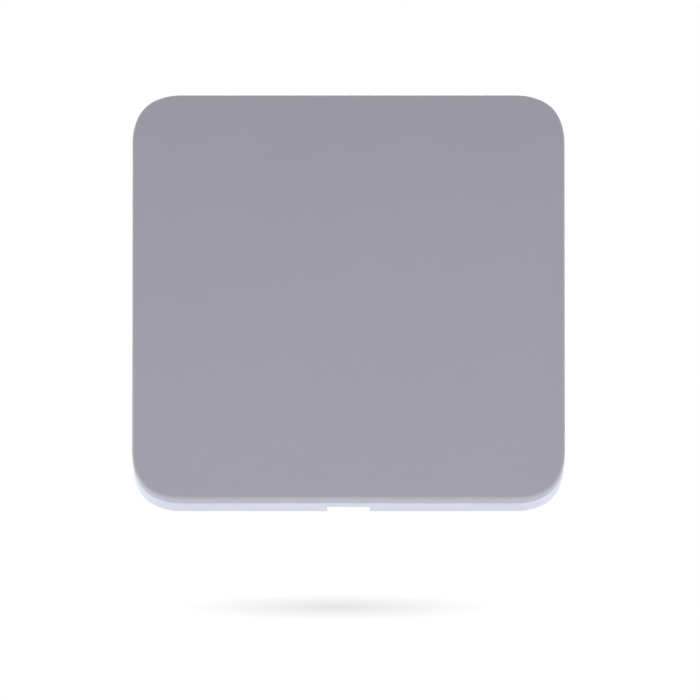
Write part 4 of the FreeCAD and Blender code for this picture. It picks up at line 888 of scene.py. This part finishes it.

# Mouldings: name, colour, grain, relief, roughness and how cloudy the colour is
# the press plate's edge colour is a painted highlight along its rounded front edge
plate_grey, painted_edge_highlight = (0.481, 0.472, 0.561), (0.6, 0.577, 0.62)
grey_shell = plate_moulding_and_painted_highlight("grey_moulded_shell", plate_grey, painted_edge_highlight, 0.22 * MM, 0.03 * MM, 0.42)
white_shell = moulded_plastic("white_moulded_shell", (0.787, 0.799, 0.928), 0.18 * MM, 0.013 * MM, 0.4, 0.01)
black_moulding = moulded_plastic("black_filled_moulding", MOULDED_BLACK, 0.1 * MM, 0.01 * MM, 0.5, 0.12)
red_moulding = moulded_plastic("red_moulding", (0.5, 0.06, 0.05), 0.1 * MM, 0.004 * MM, 0.4, 0.04)
soft_pad = moulded_plastic("soft_pad_rubber", (0.11, 0.11, 0.12), 0.25 * MM, 0.02 * MM, 0.75, 0.08)
chip_resin = moulded_plastic("chip_resin", CHIP_BLACK, RESIN_GRAIN, RESIN_RELIEF, 0.45, RESIN_CLOUD)
ferrite = moulded_plastic("ferrite_coil_body", (0.09, 0.09, 0.1), 0.15 * MM, 0.02 * MM, 0.6, 0.1)

# Metals: name, colour, roughness and how the marks are stretched
spring_steel = bright_metal("drawn_spring_wire", (0.55, 0.56, 0.58), 0.28, (1, 0.2, 1))
sheet_steel = bright_metal("rolled_tinned_sheet", (0.66, 0.66, 0.68), 0.35, (1, 1, 0.1))
tinned_leads = bright_metal("tinned_leads", TIN, 0.38)
screw_steel = bright_metal("zinc_plated_screw", (0.6, 0.6, 0.62), 0.32)
antenna_wire = bright_metal("antenna_copper_wire", (0.72, 0.42, 0.26), 0.3)
cell_steel = cell_finish("nickel_plated_cell", (0.62, 0.62, 0.63))

# Boards and what is soldered to them
laminate = solder_mask("green_solder_mask", (0.014, 0.13, 0.05), (0.03, 0.21, 0.08))
radio_laminate = solder_mask("radio_board_mask", (0.012, 0.1, 0.05), (0.02, 0.16, 0.08), notched=True)
controller_resin = leadless_chip(
    "controller_chip", "microcontroller", CHIP_BLACK, CONTROLLER_PITCH, CONTROLLER_DOT
)
header_black = header_finish("header_strip_and_pins", MOULDED_BLACK, (0.83, 0.6, 0.24))
block_resin = end_capped_block("block_capacitor_resin", "storage_capacitor", (0.62, 0.43, 0.1), BLOCK_BODY)
lamp_resin = end_capped_block("lamp_resin", "status_led", (0.8, 0.8, 0.7), LAMP_BODY)
ceramic = end_capped_chips("ceramic_chip_capacitors", (0.45, 0.32, 0.2), *CHIP_ROW)
resistor_chips = end_capped_chips("chip_resistors", COVER_BLACK, *CHIP_ROW)

dress(grey_shell, "press_plate")
dress(white_shell, "housing", "wall_plate", "latch_tongue")
dress(black_moulding, "press_switch_body", "press_switch_plunger", "tamper_switch_body", "battery_holder")
dress(red_moulding, "tamper_switch_plunger")
dress(soft_pad, "stop_pads")
dress(chip_resin, "radio_chip")
dress(ferrite, "power_inductor")
dress(sheet_steel, "press_switch_cover", "tamper_switch_cover")
dress(sheet_steel, "radio_shield_can", "radio_crystal", "clock_crystal")
dress(tinned_leads, "press_switch_terminals", "battery_contact_positive", "battery_contact_negative")
dress(laminate, "circuit_board")
dress(controller_resin, "microcontroller")
dress(header_black, "programming_header")
dress(block_resin, "storage_capacitor")
dress(lamp_resin, "status_led")
dress(ceramic, "capacitors")
dress(resistor_chips, "resistors")

for spring_name in ("return_spring_left", "return_spring_right"):
    return_spring(spring_name, spring_steel)
antenna_coil(antenna_wire)
screws = [board_screw(x, z) for x, z in SCREW_PLACES]
piece("cross_head_screws", "front_unit", screw_steel, screws, ["board_screws"])
coin_cell(cell_steel)
switch_dome(sheet_steel)
radio_board(radio_laminate)

bpy.context.scene.view_settings.view_transform = "Standard"
